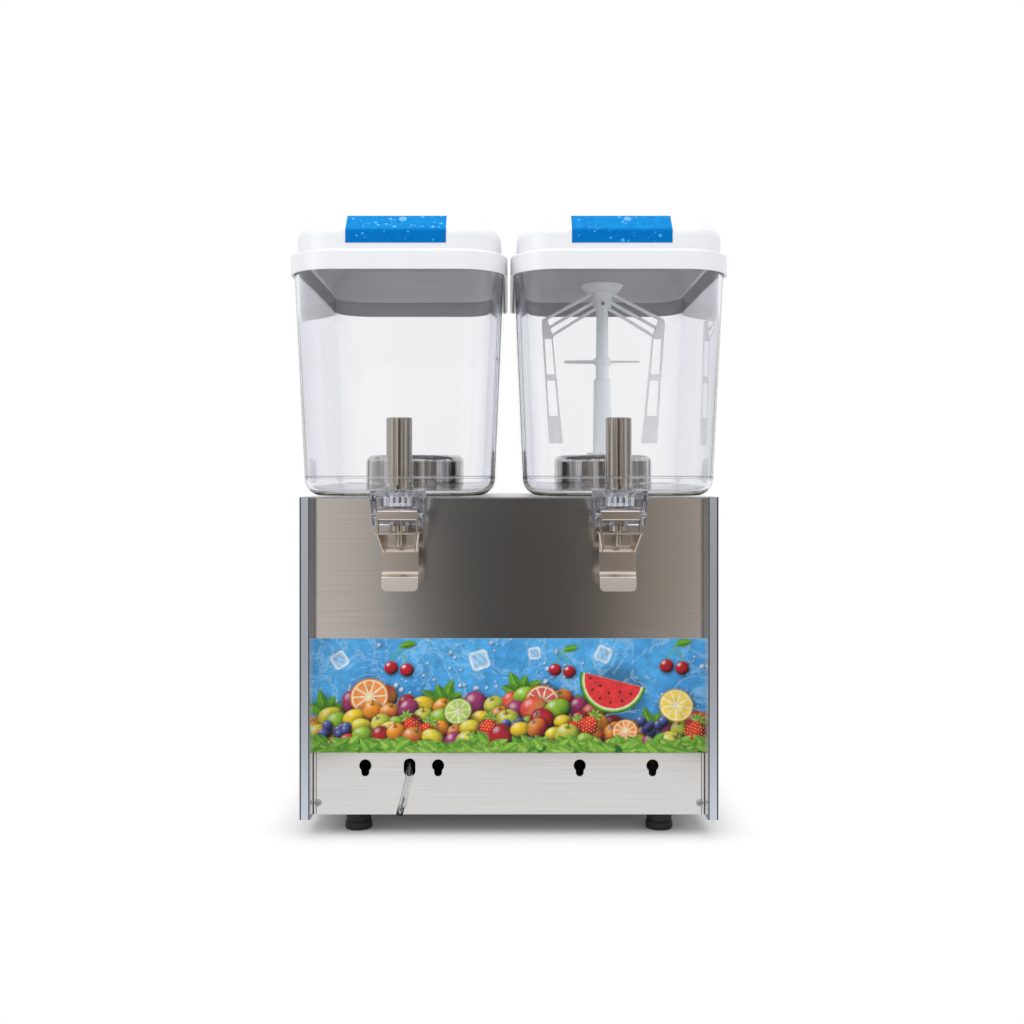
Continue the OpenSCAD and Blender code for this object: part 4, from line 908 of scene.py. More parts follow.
def add_dome(side, sign):
    r, foot, edge = DOME_R, DECK_Z - SHEET_T, DOME_EDGE_R
    profile = [(r + DOME_FLANGE, foot - SHEET_T), (r + DOME_FLANGE, foot), (r + 0.0006, foot), (r, foot + 0.0006)]
    profile += arc(r - edge, DOME_TOP - edge, edge, 0, 90, 8)
    hole = SHAFT_HOLE_R if sign > 0 else 0
    profile += [(hole, DOME_TOP), (hole, DOME_TOP - SHEET_T)]
    profile += arc(r - edge, DOME_TOP - edge, edge - SHEET_T, 90, 0, 8) + [(r - SHEET_T, foot - SHEET_T)]
    dome = turned(profile, (sign * TANK_X, DOME_Y, 0), steps=96, closed=True)
    piece(f"{side}_pressed_dome", dome, DOME_STEEL, "cabinet", [f"{side}_cold_dome"])


def add_stand_tube():
    z = DOME_TOP
    tube = turned([
        (SHAFT_HOLE_R, z), (0.0167, z), (0.0173, z + 0.0006), (0.0173, z + 0.0024), (0.0167, z + 0.003),
        (0.0122, z + 0.003), (0.0111, z + 0.0036), (0.01075, z + 0.005), (0.00955, 0.4774), (0.009, 0.478),
        (0.00655, 0.478), (0.00655, 0.466), (SHAFT_HOLE_R, 0.466),
    ], (TANK_X, DOME_Y, 0), closed=True)
    piece("moulded_stand_tube", tube, NATURAL, "cabinet", ["stand_tube"])


RIB_W = 0.0034
PADDLE_T = 0.004
PADDLE_LOW = 0.405
PADDLE_RISE = 0.140
PADDLE_FRAME = [
    (0.0652, 0.5484), (0.0709, 0.5461), (0.072, 0.5416), (0.063, PADDLE_LOW), (0.045, PADDLE_LOW),
    (0.0575, 0.528),
]
PADDLE_RIBS = [
    ((0.0034, 0.5802), (0.0703, 0.545)), ((0.0034, 0.570), (0.0635, 0.5365)), ((0.0034, 0.5617), (0.0586, 0.528)),
]
WINDOW_TOPS = (0.5246, 0.4770)
WINDOW_H = 0.0406
# Place of a window's inner and outer side at the paddle's foot, and how far each leans out
WINDOW_SIDES = ((0.0484, 0.0125), (0.0604, 0.009))
HUB = [(0, 0.587), (0.0222, 0.587)] + arc(0.0224, 0.5855, 0.0015, 90, -15, 5) + [
    (0.0194, 0.5786), (0.0188, 0.578), (0.0126, 0.578), (0.0119, 0.5772), (0.0102, 0.5612), (0.0094, 0.560),
    (0.0068, 0.560), (0.00655, 0.5592), (0.0071, 0.5032), (0.0076, 0.5023), (0.009, 0.5023), (0.0095, 0.5018),
    (0.0095, 0.4948), (0.009, 0.4943), (0.0074, 0.4943), (0.0074, 0.479), (0.0069, 0.4783), (0.00405, 0.4783),
    (0.00405, 0.5803), (0, 0.5803),
]
BLADE_Z = 0.4983
BLADE_TILT = 14


def window_sides(z):
    """Inner and outer side of a paddle's window at a height."""
    k = (z - PADDLE_LOW) / PADDLE_RISE
    return [(foot + k * lean, z) for foot, lean in WINDOW_SIDES]


def paddle():
    """One framed paddle with its three slanting ribs, on the axis's right side."""
    windows = []
    for high in WINDOW_TOPS:
        inner, outer = window_sides(high - WINDOW_H)
        window = plate([*window_sides(high), outer, inner], 0.01, "XZ")
        windows.append(rounded(window, edges_along(window, 1), 0.0012, 3))
    whole = carved(plate(PADDLE_FRAME, PADDLE_T, "XZ"), windows)
    whole = welded(whole, [plate(strip_outline(rib, RIB_W), PADDLE_T * 0.96, "XZ") for rib in PADDLE_RIBS])
    flattened(whole, 2e-5)
    return rounded(whole, creases(whole, 60), 0.0005, 2, False)


def propeller_blade(turn):
    blade = block((0.002, -0.005, -0.001), (0.0435, 0.005, 0.001))
    bmesh.ops.scale(blade, vec=(1, 0.72, 0.7), verts=[v for v in blade.verts if v.co.x > 0.04])
    rounded(blade, edges_along(blade, 2, lambda m: m.x > 0.04), 0.003, 5)
    soft_edges(blade, 0.0004)
    if turn < 0:
        spun(blade, 180, "Z")
    return shifted(spun(blade, turn * BLADE_TILT, "X"), (0, 0, BLADE_Z))


def add_agitator():
    hub = welded(turned(HUB), [propeller_blade(turn) for turn in (1, -1)])
    right = paddle()
    left = mirrored(right)
    drip = rod(0.0022, -0.02, -0.004, (0, 0, 0.564), "Y", 24)
    whole = shifted(joined(carved(hub, [drip]), right, left), (TANK_X, DOME_Y, 0))
    piece("moulded_agitator", whole, NATURAL, "stirrer", ["agitator"])


# Cabinet

GROOVE_W = 0.0012
GROOVE_DEEP = 0.00125
GROOVE_X = (INNER_W + 0.0004, HALF_W - 0.0020)
JOINT_DEEP = 0.0005
JOINTS = ((0.1987, 0.0006), (0.1958, 0.0003))
JOINTS_FROM = 0.195
HOOD_HALF = (0.0023, 0.047, 0.0046)
HOOD_ROWS = [LOUVRE_Z + (i - 5.5) * 0.011 for i in range(12)]
HOOD_COLUMNS = (-0.053, 0.053)
SIDE_HOOD_Y = 0.040


def add_posts():
    outer, inner, w = HALF_W, INNER_W, POST_WALL
    section = [
        (inner, POST_END), (inner, POST_Y), (outer, POST_Y), (outer, PANEL_Y),
        (outer - w, PANEL_Y), (outer - w, POST_Y + w), (inner + w, POST_Y + w), (inner + w, POST_END),
    ]

    def in_groove(face, mid):
        sunk = POST_Y + 1e-4 < mid.y < POST_Y + GROOVE_DEEP + 5e-5
        return sunk and inner + 0.0003 < mid.x < outer - 0.0007 and abs(face.normal.z) < 0.5

    for side, sign in SIDES:
        post = plate(section, DECK_Z - FOOT_H, "XY", (DECK_Z + FOOT_H) / 2)
        rounded(post, edges_along(post, 2, lambda m: m.y < POST_Y + SAME and m.x > outer - 0.001), 0.0014, 4)
        rounded(post, edges_along(post, 2, lambda m: m.y < POST_Y + SAME and m.x < inner + 0.001), 0.0008, 3)
        rounded(post, edges_along(post, 2, lambda m: abs(m.y - POST_Y - w) < SAME), 0.0005, 2)
        post = carved(post, [
            block((x, POST_Y - 0.001, FOOT_H - 0.001), (x + GROOVE_W, POST_Y + GROOVE_DEEP, DECK_Z + 0.001))
            for x in GROOVE_X])
        # The faces inside the grooves get painted shade
        marked(post, 1, in_groove)
        marked(post, 2, lambda f, mid: mid.x < inner + SAME)
        if sign < 0:
            post = mirrored(post)
        finishes = (POST_METAL, JOINT_SHADE, POST_MIRROR)
        piece(f"{side}_post", post, finishes, "cabinet", [f"{side}_corner_post"])


def louvre_hood():
    """A pressed hood that bulges along +X over a slot along Y, open underneath."""
    bm = bmesh.new()
    bmesh.ops.create_uvsphere(bm, u_segments=20, v_segments=14, radius=1)
    spun(bm, 90, "X")
    bmesh.ops.scale(bm, vec=HOOD_HALF, verts=bm.verts)
    for place, direction in (((0.00002, 0, 0), (1, 0, 0)), ((0, 0, -0.0016), (0, 0, 1))):
        sliced(bm, place, direction, 1e-7, True)
    return walled(bm, 0.0005)


def add_hoods(name, turn, centres):
    """Hoods on a panel: one hood, turned about Z, copied to each place."""
    hood = spun(louvre_hood(), turn, "Z")
    hoods = joined(*[shifted(hood.copy(), place) for place in centres])
    hood.free()
    piece(name, hoods, SIDE_STEEL, "cabinet", (), 50)


def add_sheet(name, node, material):
    piece(name, from_solid(node), material, "cabinet", [node])


def add_apron():
    """The lower front panel, with grooves at its sides whose faces carry painted shade."""
    def in_joint(face, mid):
        sunk = PANEL_Y + 1e-4 < mid.y < PANEL_Y + JOINT_DEEP + 5e-5
        return sunk and abs(mid.x) > JOINTS_FROM and abs(face.normal.z) < 0.5

    low, high = FOOT_H - 0.001, APRON_TOP + 0.001
    lines = [block((sign * x - half, PANEL_Y - 0.001, low), (sign * x + half, PANEL_Y + JOINT_DEEP, high))
             for sign, joints in ((-1, JOINTS), (1, JOINTS[::-1])) for x, half in joints]
    apron = carved(from_solid("lower_front_panel", 0.0005), lines)
    marked(apron, 1, in_joint)
    piece("lower_sheet", apron, (STEEL, JOINT_SHADE), "cabinet", ["lower_front_panel"])


def add_panels():
    for side, sign in SIDES:
        add_sheet(f"{side}_side_sheet", f"{side}_side_panel", SIDE_STEEL)
        places = [(sign * HALF_W, SIDE_HOOD_Y + y, z) for y in HOOD_COLUMNS for z in HOOD_ROWS]
        add_hoods(f"{side}_louvre_hoods", 0 if sign > 0 else 180, places)
    add_sheet("rear_sheet", "rear_panel", SIDE_STEEL)
    add_hoods("rear_louvre_hoods", 90, [(x, REAR_Y, z) for x in HOOD_COLUMNS for z in HOOD_ROWS])
    add_sheet("front_sheet", "front_panel", STEEL)
    add_apron()
    add_sheet("top_deck", "deck_plate", DECK_STEEL)


FOOT_PROFILE = [
    (0, 0), (0.0125, 0), (0.0135, 0.0005), (0.014, 0.0016), (0.014, 0.0068), (0.0134, 0.0078), (0.0126, 0.0084),
    (0.0124, 0.0092), (0.0129, 0.0098), (0.013, 0.0205), (0.0122, 0.0222), (0.011, 0.023), (0, 0.023),
]
FOOT_X = 0.157
FOOT_Y = (-0.073, 0.153)
SCREW_PROFILE = [
    (0, -0.0018), (0.0022, -0.00175), (0.0031, -0.0013), (0.0036, -0.0004), (0.0036, 0), (0.0019, 0),
    (0.0019, 0.008), (0, 0.008),
]
FRONT_SCREW = (0.194, 0.035)
REAR_SCREW_X = 0.185
REAR_SCREW_Z = (0.029, 0.340)
KNOB_PROFILE = [
    (0, 0.0102), (0.0105, 0.0102), (0.0113, 0.0096), (0.0128, 0.0012), (0.0128, 0.0003), (0.00305, 0.0003),
    (0.00305, 0.0073), (0, 0.0073),
]
KNOB_PLACE = (-0.150, REAR_Y, 0.286)
KNOB_RIDGES = 18
RIDGES_FROM = 0.0108
RIDGE_DEPTH = 0.035
GLAND_PROFILE = [
    (0.0045, -0.0052), (0.0076, -0.0052), (0.0077, 0), (0.0108, 0), (0.011, 0.0003), (0.011, 0.0024),
    (0.0104, 0.003), (0.0082, 0.003), (0.0079, 0.0035), (0.0078, 0.0052), (0.0074, 0.0055), (0.0074, 0.0062),
    (0.0077, 0.0065), (0.0075, 0.0082), (0.0071, 0.0085), (0.0071, 0.0092), (0.0073, 0.0095), (0.0068, 0.0108),
    (0.0064, 0.011), (0.0045, 0.011),
]
GLAND_PLACE = (0.160, REAR_Y, 0.0542)


def add_feet():
    feet = [turned(FOOT_PROFILE, (x, y, 0), steps=48) for x in (-FOOT_X, FOOT_X) for y in FOOT_Y]
    piece("rubber_feet", joined(*feet), RUBBER, "cabinet", ["feet"])


def add_screws():
    cross = [block((-a, -0.003, -b), (a, -0.0007, b)) for a, b in ((0.0004, 0.0021), (0.0021, 0.0004))]
    head = carved(turned(SCREW_PROFILE, axis="Y", steps=32), cross)
    rear = spun(head.copy(), 180, "Z")
    across, up = FRONT_SCREW
    screws = [shifted(head.copy(), (x, PANEL_Y, up)) for x in (-across, across)]
    across = (-REAR_SCREW_X, 0, REAR_SCREW_X)
    screws += [shifted(rear.copy(), (x, REAR_Y, z)) for x in across for z in REAR_SCREW_Z]
    head.free()
    rear.free()
    piece("cross_head_screws", joined(*screws), ZINC, "cabinet", ["panel_screws"])


def add_knob():
    knob = turned(KNOB_PROFILE)
    for v in knob.verts:
        if math.hypot(v.co.x, v.co.y) > RIDGES_FROM:
            k = 1 - RIDGE_DEPTH * (0.5 + 0.5 * math.cos(KNOB_RIDGES * math.atan2(v.co.y, v.co.x)))
            v.co.x, v.co.y = v.co.x * k, v.co.y * k
    pointer = block((-0.0013, 0.002, 0.0004), (0.0013, 0.0138, 0.0096))
    rounded(pointer, creases(pointer), 0.0006, 2)
    knob = shifted(spun(welded(knob, [pointer]), -90, "X"), KNOB_PLACE)
    piece("ribbed_knob", knob, BLACK, "knob", ["thermostat_knob"])


def add_controls():
    add_knob()
    frames = from_solid("switch_housings", 0.0005, 3)
    piece("switch_frames", frames, BLACK, "cabinet", ["switch_housings"])
    for name in ("cooling", "stirring"):
        cap = from_solid(f"{name}_rocker", 0.0005, 3)
        piece(f"{name}_rocker_cap", cap, RED, f"{name}_switch_rocker", [f"{name}_rocker"])
    gland = turned(GLAND_PROFILE, GLAND_PLACE, "Y", 48, closed=True)
    piece("ringed_gland", gland, BLACK, "cabinet", ["cable_gland"])


# Printed picture: a made-up heap of fruit before water, painted on the plate's own fine grid

DOT = 0.00075
LIGHT = (-0.46, 0.54, 0.70)
ORANGE, LEMON, LIME = (0.92, 0.25, 0.008), (0.92, 0.62, 0.015), (0.20, 0.48, 0.015)
APPLE_RED, APPLE_GREEN, PEACH = (0.62, 0.015, 0.02), (0.38, 0.60, 0.03), (0.95, 0.42, 0.10)
PLUM, BERRY, CHERRY = (0.20, 0.02, 0.13), (0.03, 0.05, 0.24), (0.60, 0.006, 0.02)
PITH, SEED_GOLD, GLINT = (0.93, 0.86, 0.60), (0.95, 0.68, 0.15), (1.0, 1.0, 0.97)
ORANGE_FLESH, LEMON_FLESH = (0.93, 0.27, 0.01), (0.93, 0.68, 0.05)
LEAF_DARK, LEAF_LIGHT, LEAF_PALE = (0.02, 0.15, 0.01), (0.17, 0.50, 0.02), (0.42, 0.72, 0.10)
WATER_DEEP, WATER_PALE, FOAM = (0.012, 0.19, 0.56), (0.09, 0.46, 0.88), (0.55, 0.82, 0.98)
# Skin, blush, height to width, and whether a stalk shows
FRUIT = (
    (ORANGE, (0.95, 0.36, 0.02), 1.0, True), (APPLE_RED, (0.80, 0.30, 0.04), 0.94, True),
    (LEMON, (0.80, 0.70, 0.05), 0.74, False), (PLUM, (0.42, 0.04, 0.16), 1.18, False),
    (APPLE_GREEN, (0.70, 0.66, 0.08), 0.95, True), (PEACH, (0.80, 0.08, 0.05), 0.97, False),
    (LIME, (0.34, 0.58, 0.04), 0.80, False), (APPLE_RED, (0.45, 0.01, 0.03), 0.98, True),
    (LEMON, (0.93, 0.66, 0.02), 0.76, False),
)
MELON_RINGS = ((1.0, LEAF_DARK), (0.96, LEAF_LIGHT), (0.91, (0.80, 0.88, 0.55)), (0.86, (0.80, 0.035, 0.04)))


def mixed(a, b, k):
    """A blend of two colours, or of two fields of colours."""
    k = np.asarray(k)[..., None]
    return np.asarray(a) * (1 - k) + np.asarray(b) * k


def heading(turn):
    angle = math.radians(turn)
    return math.cos(angle), math.sin(angle)


def up_axis(x, z, far, turn):
    """The place that is so far up a turned fruit's own axis."""
    c, s = heading(turn)
    return x - far * s, z + far * c


def heap(x):
    """Height of the fruit heap's crest along the panel."""
    return 0.127 + 0.014 * math.sin(15 * x + 2.2) + 0.010 * math.sin(33 * x)


class Canvas:
    """Colours on a fine grid in the panel's plane; each motif is painted over the ones before."""

    def __init__(self):
        tall = PICTURE_TOP - APRON_TOP
        self.x = np.linspace(-INNER_W, INNER_W, round(2 * INNER_W / DOT) + 1)
        self.z = np.linspace(APRON_TOP, PICTURE_TOP, round(tall / DOT) + 1)
        along, up = np.meshgrid(self.x, (self.z - APRON_TOP) / tall)
        sway = np.sin(42 * along + 5 * up) + np.sin(97 * along - 9 * up)
        self.rgb = mixed(WATER_DEEP, WATER_PALE, np.clip(0.3 + 0.6 * up + 0.12 * sway, 0, 1))
        self.open_water = np.ones_like(along)

    def around(self, x, z, far, turn=0.0):
        """The part of the grid near a place, with coordinates turned about that place."""
        i = slice(*np.searchsorted(self.x, (x - far, x + far)))
        j = slice(*np.searchsorted(self.z, (z - far, z + far)))
        u, v = np.meshgrid(self.x[i] - x, self.z[j] - z)
        c, s = heading(turn)
        return (j, i), u * c + v * s, v * c - u * s

    def paint(self, spot, distance, colour, strength=1.0):
        """Colour where the distance to an outline is below nought, with a soft rim one dot wide."""
        cover = strength * np.clip(0.5 - distance / DOT, 0, 1)
        self.rgb[spot] = mixed(self.rgb[spot], colour, cover)
        self.open_water[spot] *= 1 - cover

    def shadow(self, x, z, r, strength=0.5):
        spot, u, v = self.around(x + 0.12 * r, z - 0.16 * r, 1.4 * r)
        near = np.clip((1.35 - np.hypot(u, v) / r) / 0.4, 0, 1)
        self.rgb[spot] = mixed(self.rgb[spot], (0, 0, 0), strength * near)

    def ball(self, x, z, r, colour, blush=None, tall=1.0, turn=0.0, gloss=0.6, cover=1.0):
        """A round thing, lit from the upper left."""
        self.shadow(x, z, r * max(1, tall), 0.5 * cover * cover)
        spot, u, v = self.around(x, z, 1.2 * r * max(1, tall), turn)
        a, b = u / r, v / (r * tall)
        d = np.hypot(a, b)
        c, s = heading(turn)
        lit = (LIGHT[0] * c + LIGHT[1] * s) * a + (LIGHT[1] * c - LIGHT[0] * s) * b
        lit = lit + LIGHT[2] * np.sqrt(np.clip(1 - d * d, 0, 1))
        skin = mixed(colour, blush or colour, np.clip(0.5 + 0.9 * b - 0.5 * a, 0, 1))
        skin = skin * np.clip(0.16 + 0.98 * lit, 0.06, 1.05)[..., None]
        skin = mixed(skin, GLINT, gloss * np.clip((lit - 0.90) / 0.10, 0, 1) ** 2)
        self.paint(spot, (d - 1) * r, skin, cover)

    def dimple(self, x, z, r, turn):
        """The hollow and stalk at the top of a fruit."""
        spot, u, v = self.around(*up_axis(x, z, 0.62 * r, turn), 0.5 * r, turn)
        self.paint(spot, np.hypot(u, 2.2 * v) - 0.30 * r, (0.05, 0.05, 0.01), 0.55)
        root, end = up_axis(x, z, 0.60 * r, turn), up_axis(x, z, 0.98 * r, turn)
        self.stalk(*root, *end, 0.0012, (0.06, 0.045, 0.015))

    def wheel(self, x, z, r, rind, flesh, parts=9, squash=1.0, turn=0.0):
        """A cut citrus wheel: rind, pith and juicy parts."""
        self.shadow(x, z, r)
        spot, u, v = self.around(x, z, 1.2 * r, turn)
        v = v / squash
        d, angle, half = np.hypot(u, v) / r, np.arctan2(v, u), math.pi / parts
        off = np.abs((angle + half) % (2 * half) - half)
        self.paint(spot, (d - 1) * r, mixed(rind, (0.12, 0.05, 0), np.clip((d - 0.93) / 0.14, 0, 1)))
        self.paint(spot, (d - 0.91) * r, PITH)
        juice = np.maximum(np.maximum(0.04 - d * np.sin(half - off), d - 0.84), 0.10 - d)
        streaks = 0.5 + 0.5 * np.sin(60 * angle + 11 * d)
        self.paint(spot, juice * r, mixed(flesh, GLINT, 0.28 * streaks * np.clip(1.1 - d, 0, 1)))

    def leaf(self, x, z, length, width, turn, dark=LEAF_DARK, light=LEAF_LIGHT):
        spot, u, v = self.around(x, z, 1.1 * length, turn)
        t = np.clip(u / length, 0, 1)
        half = width / 2 * np.sin(math.pi * t ** 0.8)
        outside = np.where((u > 0) & (u < length), np.abs(v) - half, 1.0)
        across = np.abs(v) / (half + 1e-6)
        ribs = np.cos(math.tau * (6 * t - 1.5 * across))
        body = mixed(dark, light, np.clip(0.55 + 0.3 * np.sign(v) * (1 - 0.5 * across) + 0.14 * ribs, 0, 1))
        body = mixed(body, LEAF_PALE, 0.6 * np.clip(1 - np.abs(v) / 0.0006, 0, 1))
        self.paint(spot, outside - 0.0009, (0.0, 0.03, 0.01), 0.3)
        self.paint(spot, outside, body)

    def sprig(self, x, z, length, turn, count=5, spread=160):
        for k in range(count):
            way = turn + spread * (k / (count - 1) - 0.5)
            self.leaf(x, z, length * (0.8 + 0.2 * (k % 2)), length * 0.45, way)

    def strawberry(self, x, z, r, turn):
        self.shadow(x, z, r)
        spot, u, v = self.around(x, z, 1.6 * r, turn)
        t = np.clip((v / r + 1.25) / 2.1, 0, 1)
        half = r * np.sin(math.pi * t ** 0.62) ** 0.75
        a = u / (half + 1e-6)
        row = np.floor(3.4 * v / r)
        p, q = (3.4 * u / r + 0.5 * (row % 2)) % 1 - 0.5, 3.4 * v / r - row - 0.5
        lit = np.clip(1.0 - 0.6 * a * a - 0.3 * a + 0.2 * v / r, 0.15, 1.1)
        body = np.asarray((0.80, 0.025, 0.02)) * lit[..., None]
        body = mixed(body, SEED_GOLD, 0.8 * (np.hypot(p, 0.7 * q) < 0.16))
        self.paint(spot, np.where((t > 0) & (t < 1), np.abs(u) - half, 1.0), body)
        for k in range(5):
            way = turn + 90 + 48 * (k - 2)
            self.leaf(*up_axis(x, z, 0.72 * r, turn), 0.75 * r, 0.32 * r, way, LEAF_DARK, LEAF_PALE)

    def stalk(self, x0, z0, x1, z1, width, colour=LEAF_LIGHT):
        length, turn = math.hypot(x1 - x0, z1 - z0), math.degrees(math.atan2(z1 - z0, x1 - x0))
        spot, u, v = self.around((x0 + x1) / 2, (z0 + z1) / 2, length, turn)
        over = np.maximum(np.abs(u) - length / 2, 0)
        self.paint(spot, np.hypot(over, v) - width / 2, colour)

    def cherries(self, x, z, r):
        top = (x + 0.2 * r, z + 3.1 * r)
        self.leaf(*top, 2.5 * r, 1.1 * r, 10)
        for dx, dz in ((-1.05, 0.0), (1.15, -0.3)):
            self.stalk(x + dx * r, z + (dz + 0.7) * r, *top, 0.0011)
            self.ball(x + dx * r, z + dz * r, r, CHERRY, None, 0.95, gloss=0.9)

    def melon(self, x, z, r, turn):
        """A half slice of melon with its seeds."""
        self.shadow(x, z - 0.35 * r, 0.8 * r)
        spot, u, v = self.around(x, z, 1.1 * r, turn)
        d, angle = np.hypot(u, v) / r, np.arctan2(v, u)
        for share, colour in MELON_RINGS:
            self.paint(spot, np.maximum(d - share, v / r) * r, colour)
        for share in (0.42, 0.68):
            step = math.pi * 0.11 / share
            along = ((angle + share) % step - step / 2) * share
            seed = np.maximum(np.hypot(along * 1.7, d - share) - 0.05, v / r + 0.1)
            self.paint(spot, seed * r, (0.02, 0.01, 0.01))

    def ice(self, x, z, size, turn):
        spot, u, v = self.around(x, z, size, turn)
        edge, half = 0.22 * size, size / 2
        over_u, over_v = (np.maximum(np.abs(side) - half + edge, 0) for side in (u, v))
        rim = np.hypot(over_u, over_v) - edge
        depth = np.clip(1 + (rim + edge * 0.2) / (0.45 * half), 0, 1)
        sheen = 0.5 + 0.5 * np.sin(9 * (u + 0.6 * v) / half)
        core = mixed((0.10, 0.42, 0.80), FOAM, 0.5 * sheen)
        self.paint(spot, rim, mixed(core, (0.88, 0.96, 1.0), depth), 0.9)


ICE = (
    (-0.030, 0.180, 0.019, 18), (0.096, 0.186, 0.016, -24), (-0.172, 0.180, 0.016, 33), (0.026, 0.187, 0.012, 8),
)
CHERRIES = ((-0.112, 0.172, 0.0072), (0.054, 0.170, 0.0066), (0.168, 0.174, 0.0072))
SPRIGS = ((-0.186, 65), (-0.066, 110), (0.012, 75), (0.088, 100), (0.146, 70))
BUBBLES = 150
# How far each row of fruit lies below the crest, and the fruit's radius
HEAP_ROWS = ((0.000, 0.0112), (0.0115, 0.0118), (0.023, 0.0108), (0.034, 0.0105))
# Cut wheels that lie on a row
WHEELS = {
    0: ((-0.142, 0.143, 0.0200, ORANGE, ORANGE_FLESH, 10, 0.92, 20),
        (0.034, 0.138, 0.0175, (0.85, 0.25, 0.04), (0.78, 0.06, 0.05), 10, 0.95, -15)),
    1: ((-0.052, 0.128, 0.0145, LIME, (0.45, 0.66, 0.08), 8, 0.9, 30),
        (0.170, 0.134, 0.0175, LEMON, LEMON_FLESH, 9, 0.94, -30)),
    2: ((-0.122, 0.106, 0.0125, LEMON, LEMON_FLESH, 9, 0.9, 50),
        (0.118, 0.108, 0.0130, ORANGE, ORANGE_FLESH, 10, 0.9, 10)),
}
MELON = (0.106, 0.160, 0.034, -14)
STRAWBERRIES = ((-0.100, 0.116), (-0.084, 0.110), (0.066, 0.112), (0.083, 0.117), (-0.020, 0.114), (0.190, 0.112))
BERRY_HEAPS = (-0.176, 0.008, 0.146)
LEAF_ROWS = (0.093, 0.090, 0.087)
LEAF_TURNS = (-20, 15, 40, 140, 165, 200)


def paint_water(canvas, lots):
    for _ in range(BUBBLES):
        x = lots.uniform(-0.197, 0.197)
        z = heap(x) + 0.008 + 0.062 * lots.random() ** 1.5
        r = 0.0007 + 0.0022 * lots.random() ** 3
        canvas.ball(x, z, r, FOAM, GLINT, lots.uniform(0.85, 1.25), gloss=0.9, cover=0.65)
    for cube in ICE:
        canvas.ice(*cube)
    for pair in CHERRIES:
        canvas.cherries(*pair)
    for x, turn in SPRIGS:
        canvas.sprig(x, heap(x) + 0.004, 0.027, turn)


def paint_row(canvas, lots, row, drop, size):
    x, kind = -0.199 + 0.006 * (row % 2), 4 * row
    while x < 0.205:
        colour, blush, tall, dimpled = FRUIT[kind % len(FRUIT)]
        r = size * lots.uniform(0.85, 1.25)
        z, turn = heap(x) - drop + lots.uniform(-0.003, 0.003), lots.uniform(-35, 35)
        canvas.ball(x, z, r, colour, blush, tall, turn, 0.5)
        if dimpled:
            canvas.dimple(x, z, r, turn)
        x += r * lots.uniform(1.35, 1.75)
        kind += lots.choice((1, 1, 2))


def paint_berries(canvas, lots):
    for middle in BERRY_HEAPS:
        for _ in range(12):
            x, z = middle + lots.uniform(-0.016, 0.016), 0.110 + lots.uniform(-0.007, 0.008)
            canvas.ball(x, z, lots.uniform(0.0042, 0.0056), BERRY, (0.10, 0.14, 0.42), gloss=0.45)


def paint_heap(canvas, lots):
    for row, (drop, size) in enumerate(HEAP_ROWS):
        paint_row(canvas, lots, row, drop, size)
        if row == 0:
            canvas.melon(*MELON)
        if row == 2:
            for x, z in STRAWBERRIES:
                canvas.strawberry(x, z, 0.0104, lots.uniform(-35, 35))
        for wheel in WHEELS.get(row, ()):
            canvas.wheel(*wheel)
        if row == 2:
            paint_berries(canvas, lots)


def paint_leaf_bed(canvas, lots):
    spot, _, up = canvas.around(0, APRON_TOP, 2 * INNER_W)
    canvas.paint(spot, up - 0.007, LEAF_DARK)
    for low in LEAF_ROWS:
        x = -0.204
        while x < 0.204:
            length, bright = lots.uniform(0.013, 0.019), lots.random()
            dark = tuple(mixed(LEAF_DARK, LEAF_LIGHT, 0.35 * bright))
            light = tuple(mixed(LEAF_LIGHT, LEAF_PALE, bright))
            z = low + lots.uniform(-0.002, 0.002)
            turn = lots.choice(LEAF_TURNS) + lots.uniform(-15, 15)
            canvas.leaf(x, z, length, 0.55 * length, turn, dark, light)
            x += lots.uniform(0.005, 0.008)


def rim_edges(bm):
    return [e for e in bm.edges if e.is_boundary]


def add_picture():
    lots = random.Random(5)
    canvas = Canvas()
    paint_water(canvas, lots)
    paint_heap(canvas, lots)
    paint_leaf_bed(canvas, lots)
    rows, columns = canvas.open_water.shape
    bm = bmesh.new()
    tint = bm.verts.layers.float_color.new("tint")
    bmesh.ops.create_grid(bm, x_segments=columns - 1, y_segments=rows - 1, size=0.5)
    for v in bm.verts:
        j, i = round((v.co.y + 0.5) * (rows - 1)), round((v.co.x + 0.5) * (columns - 1))
        v[tint] = (*canvas.rgb[j, i], canvas.open_water[j, i])
        v.co = (canvas.x[i], PANEL_Y, canvas.z[j])
    back = new_verts(bmesh.ops.extrude_edge_only(bm, edges=rim_edges(bm)))
    bmesh.ops.translate(bm, vec=(0, PICTURE_T, 0), verts=back)
    bmesh.ops.holes_fill(bm, edges=rim_edges(bm), sides=0)
    bmesh.ops.recalc_face_normals(bm, faces=bm.faces)
    piece("printed_picture", bm, PRINT, "cabinet", ["picture_panel"], 20)


# Floor, light and backdrop

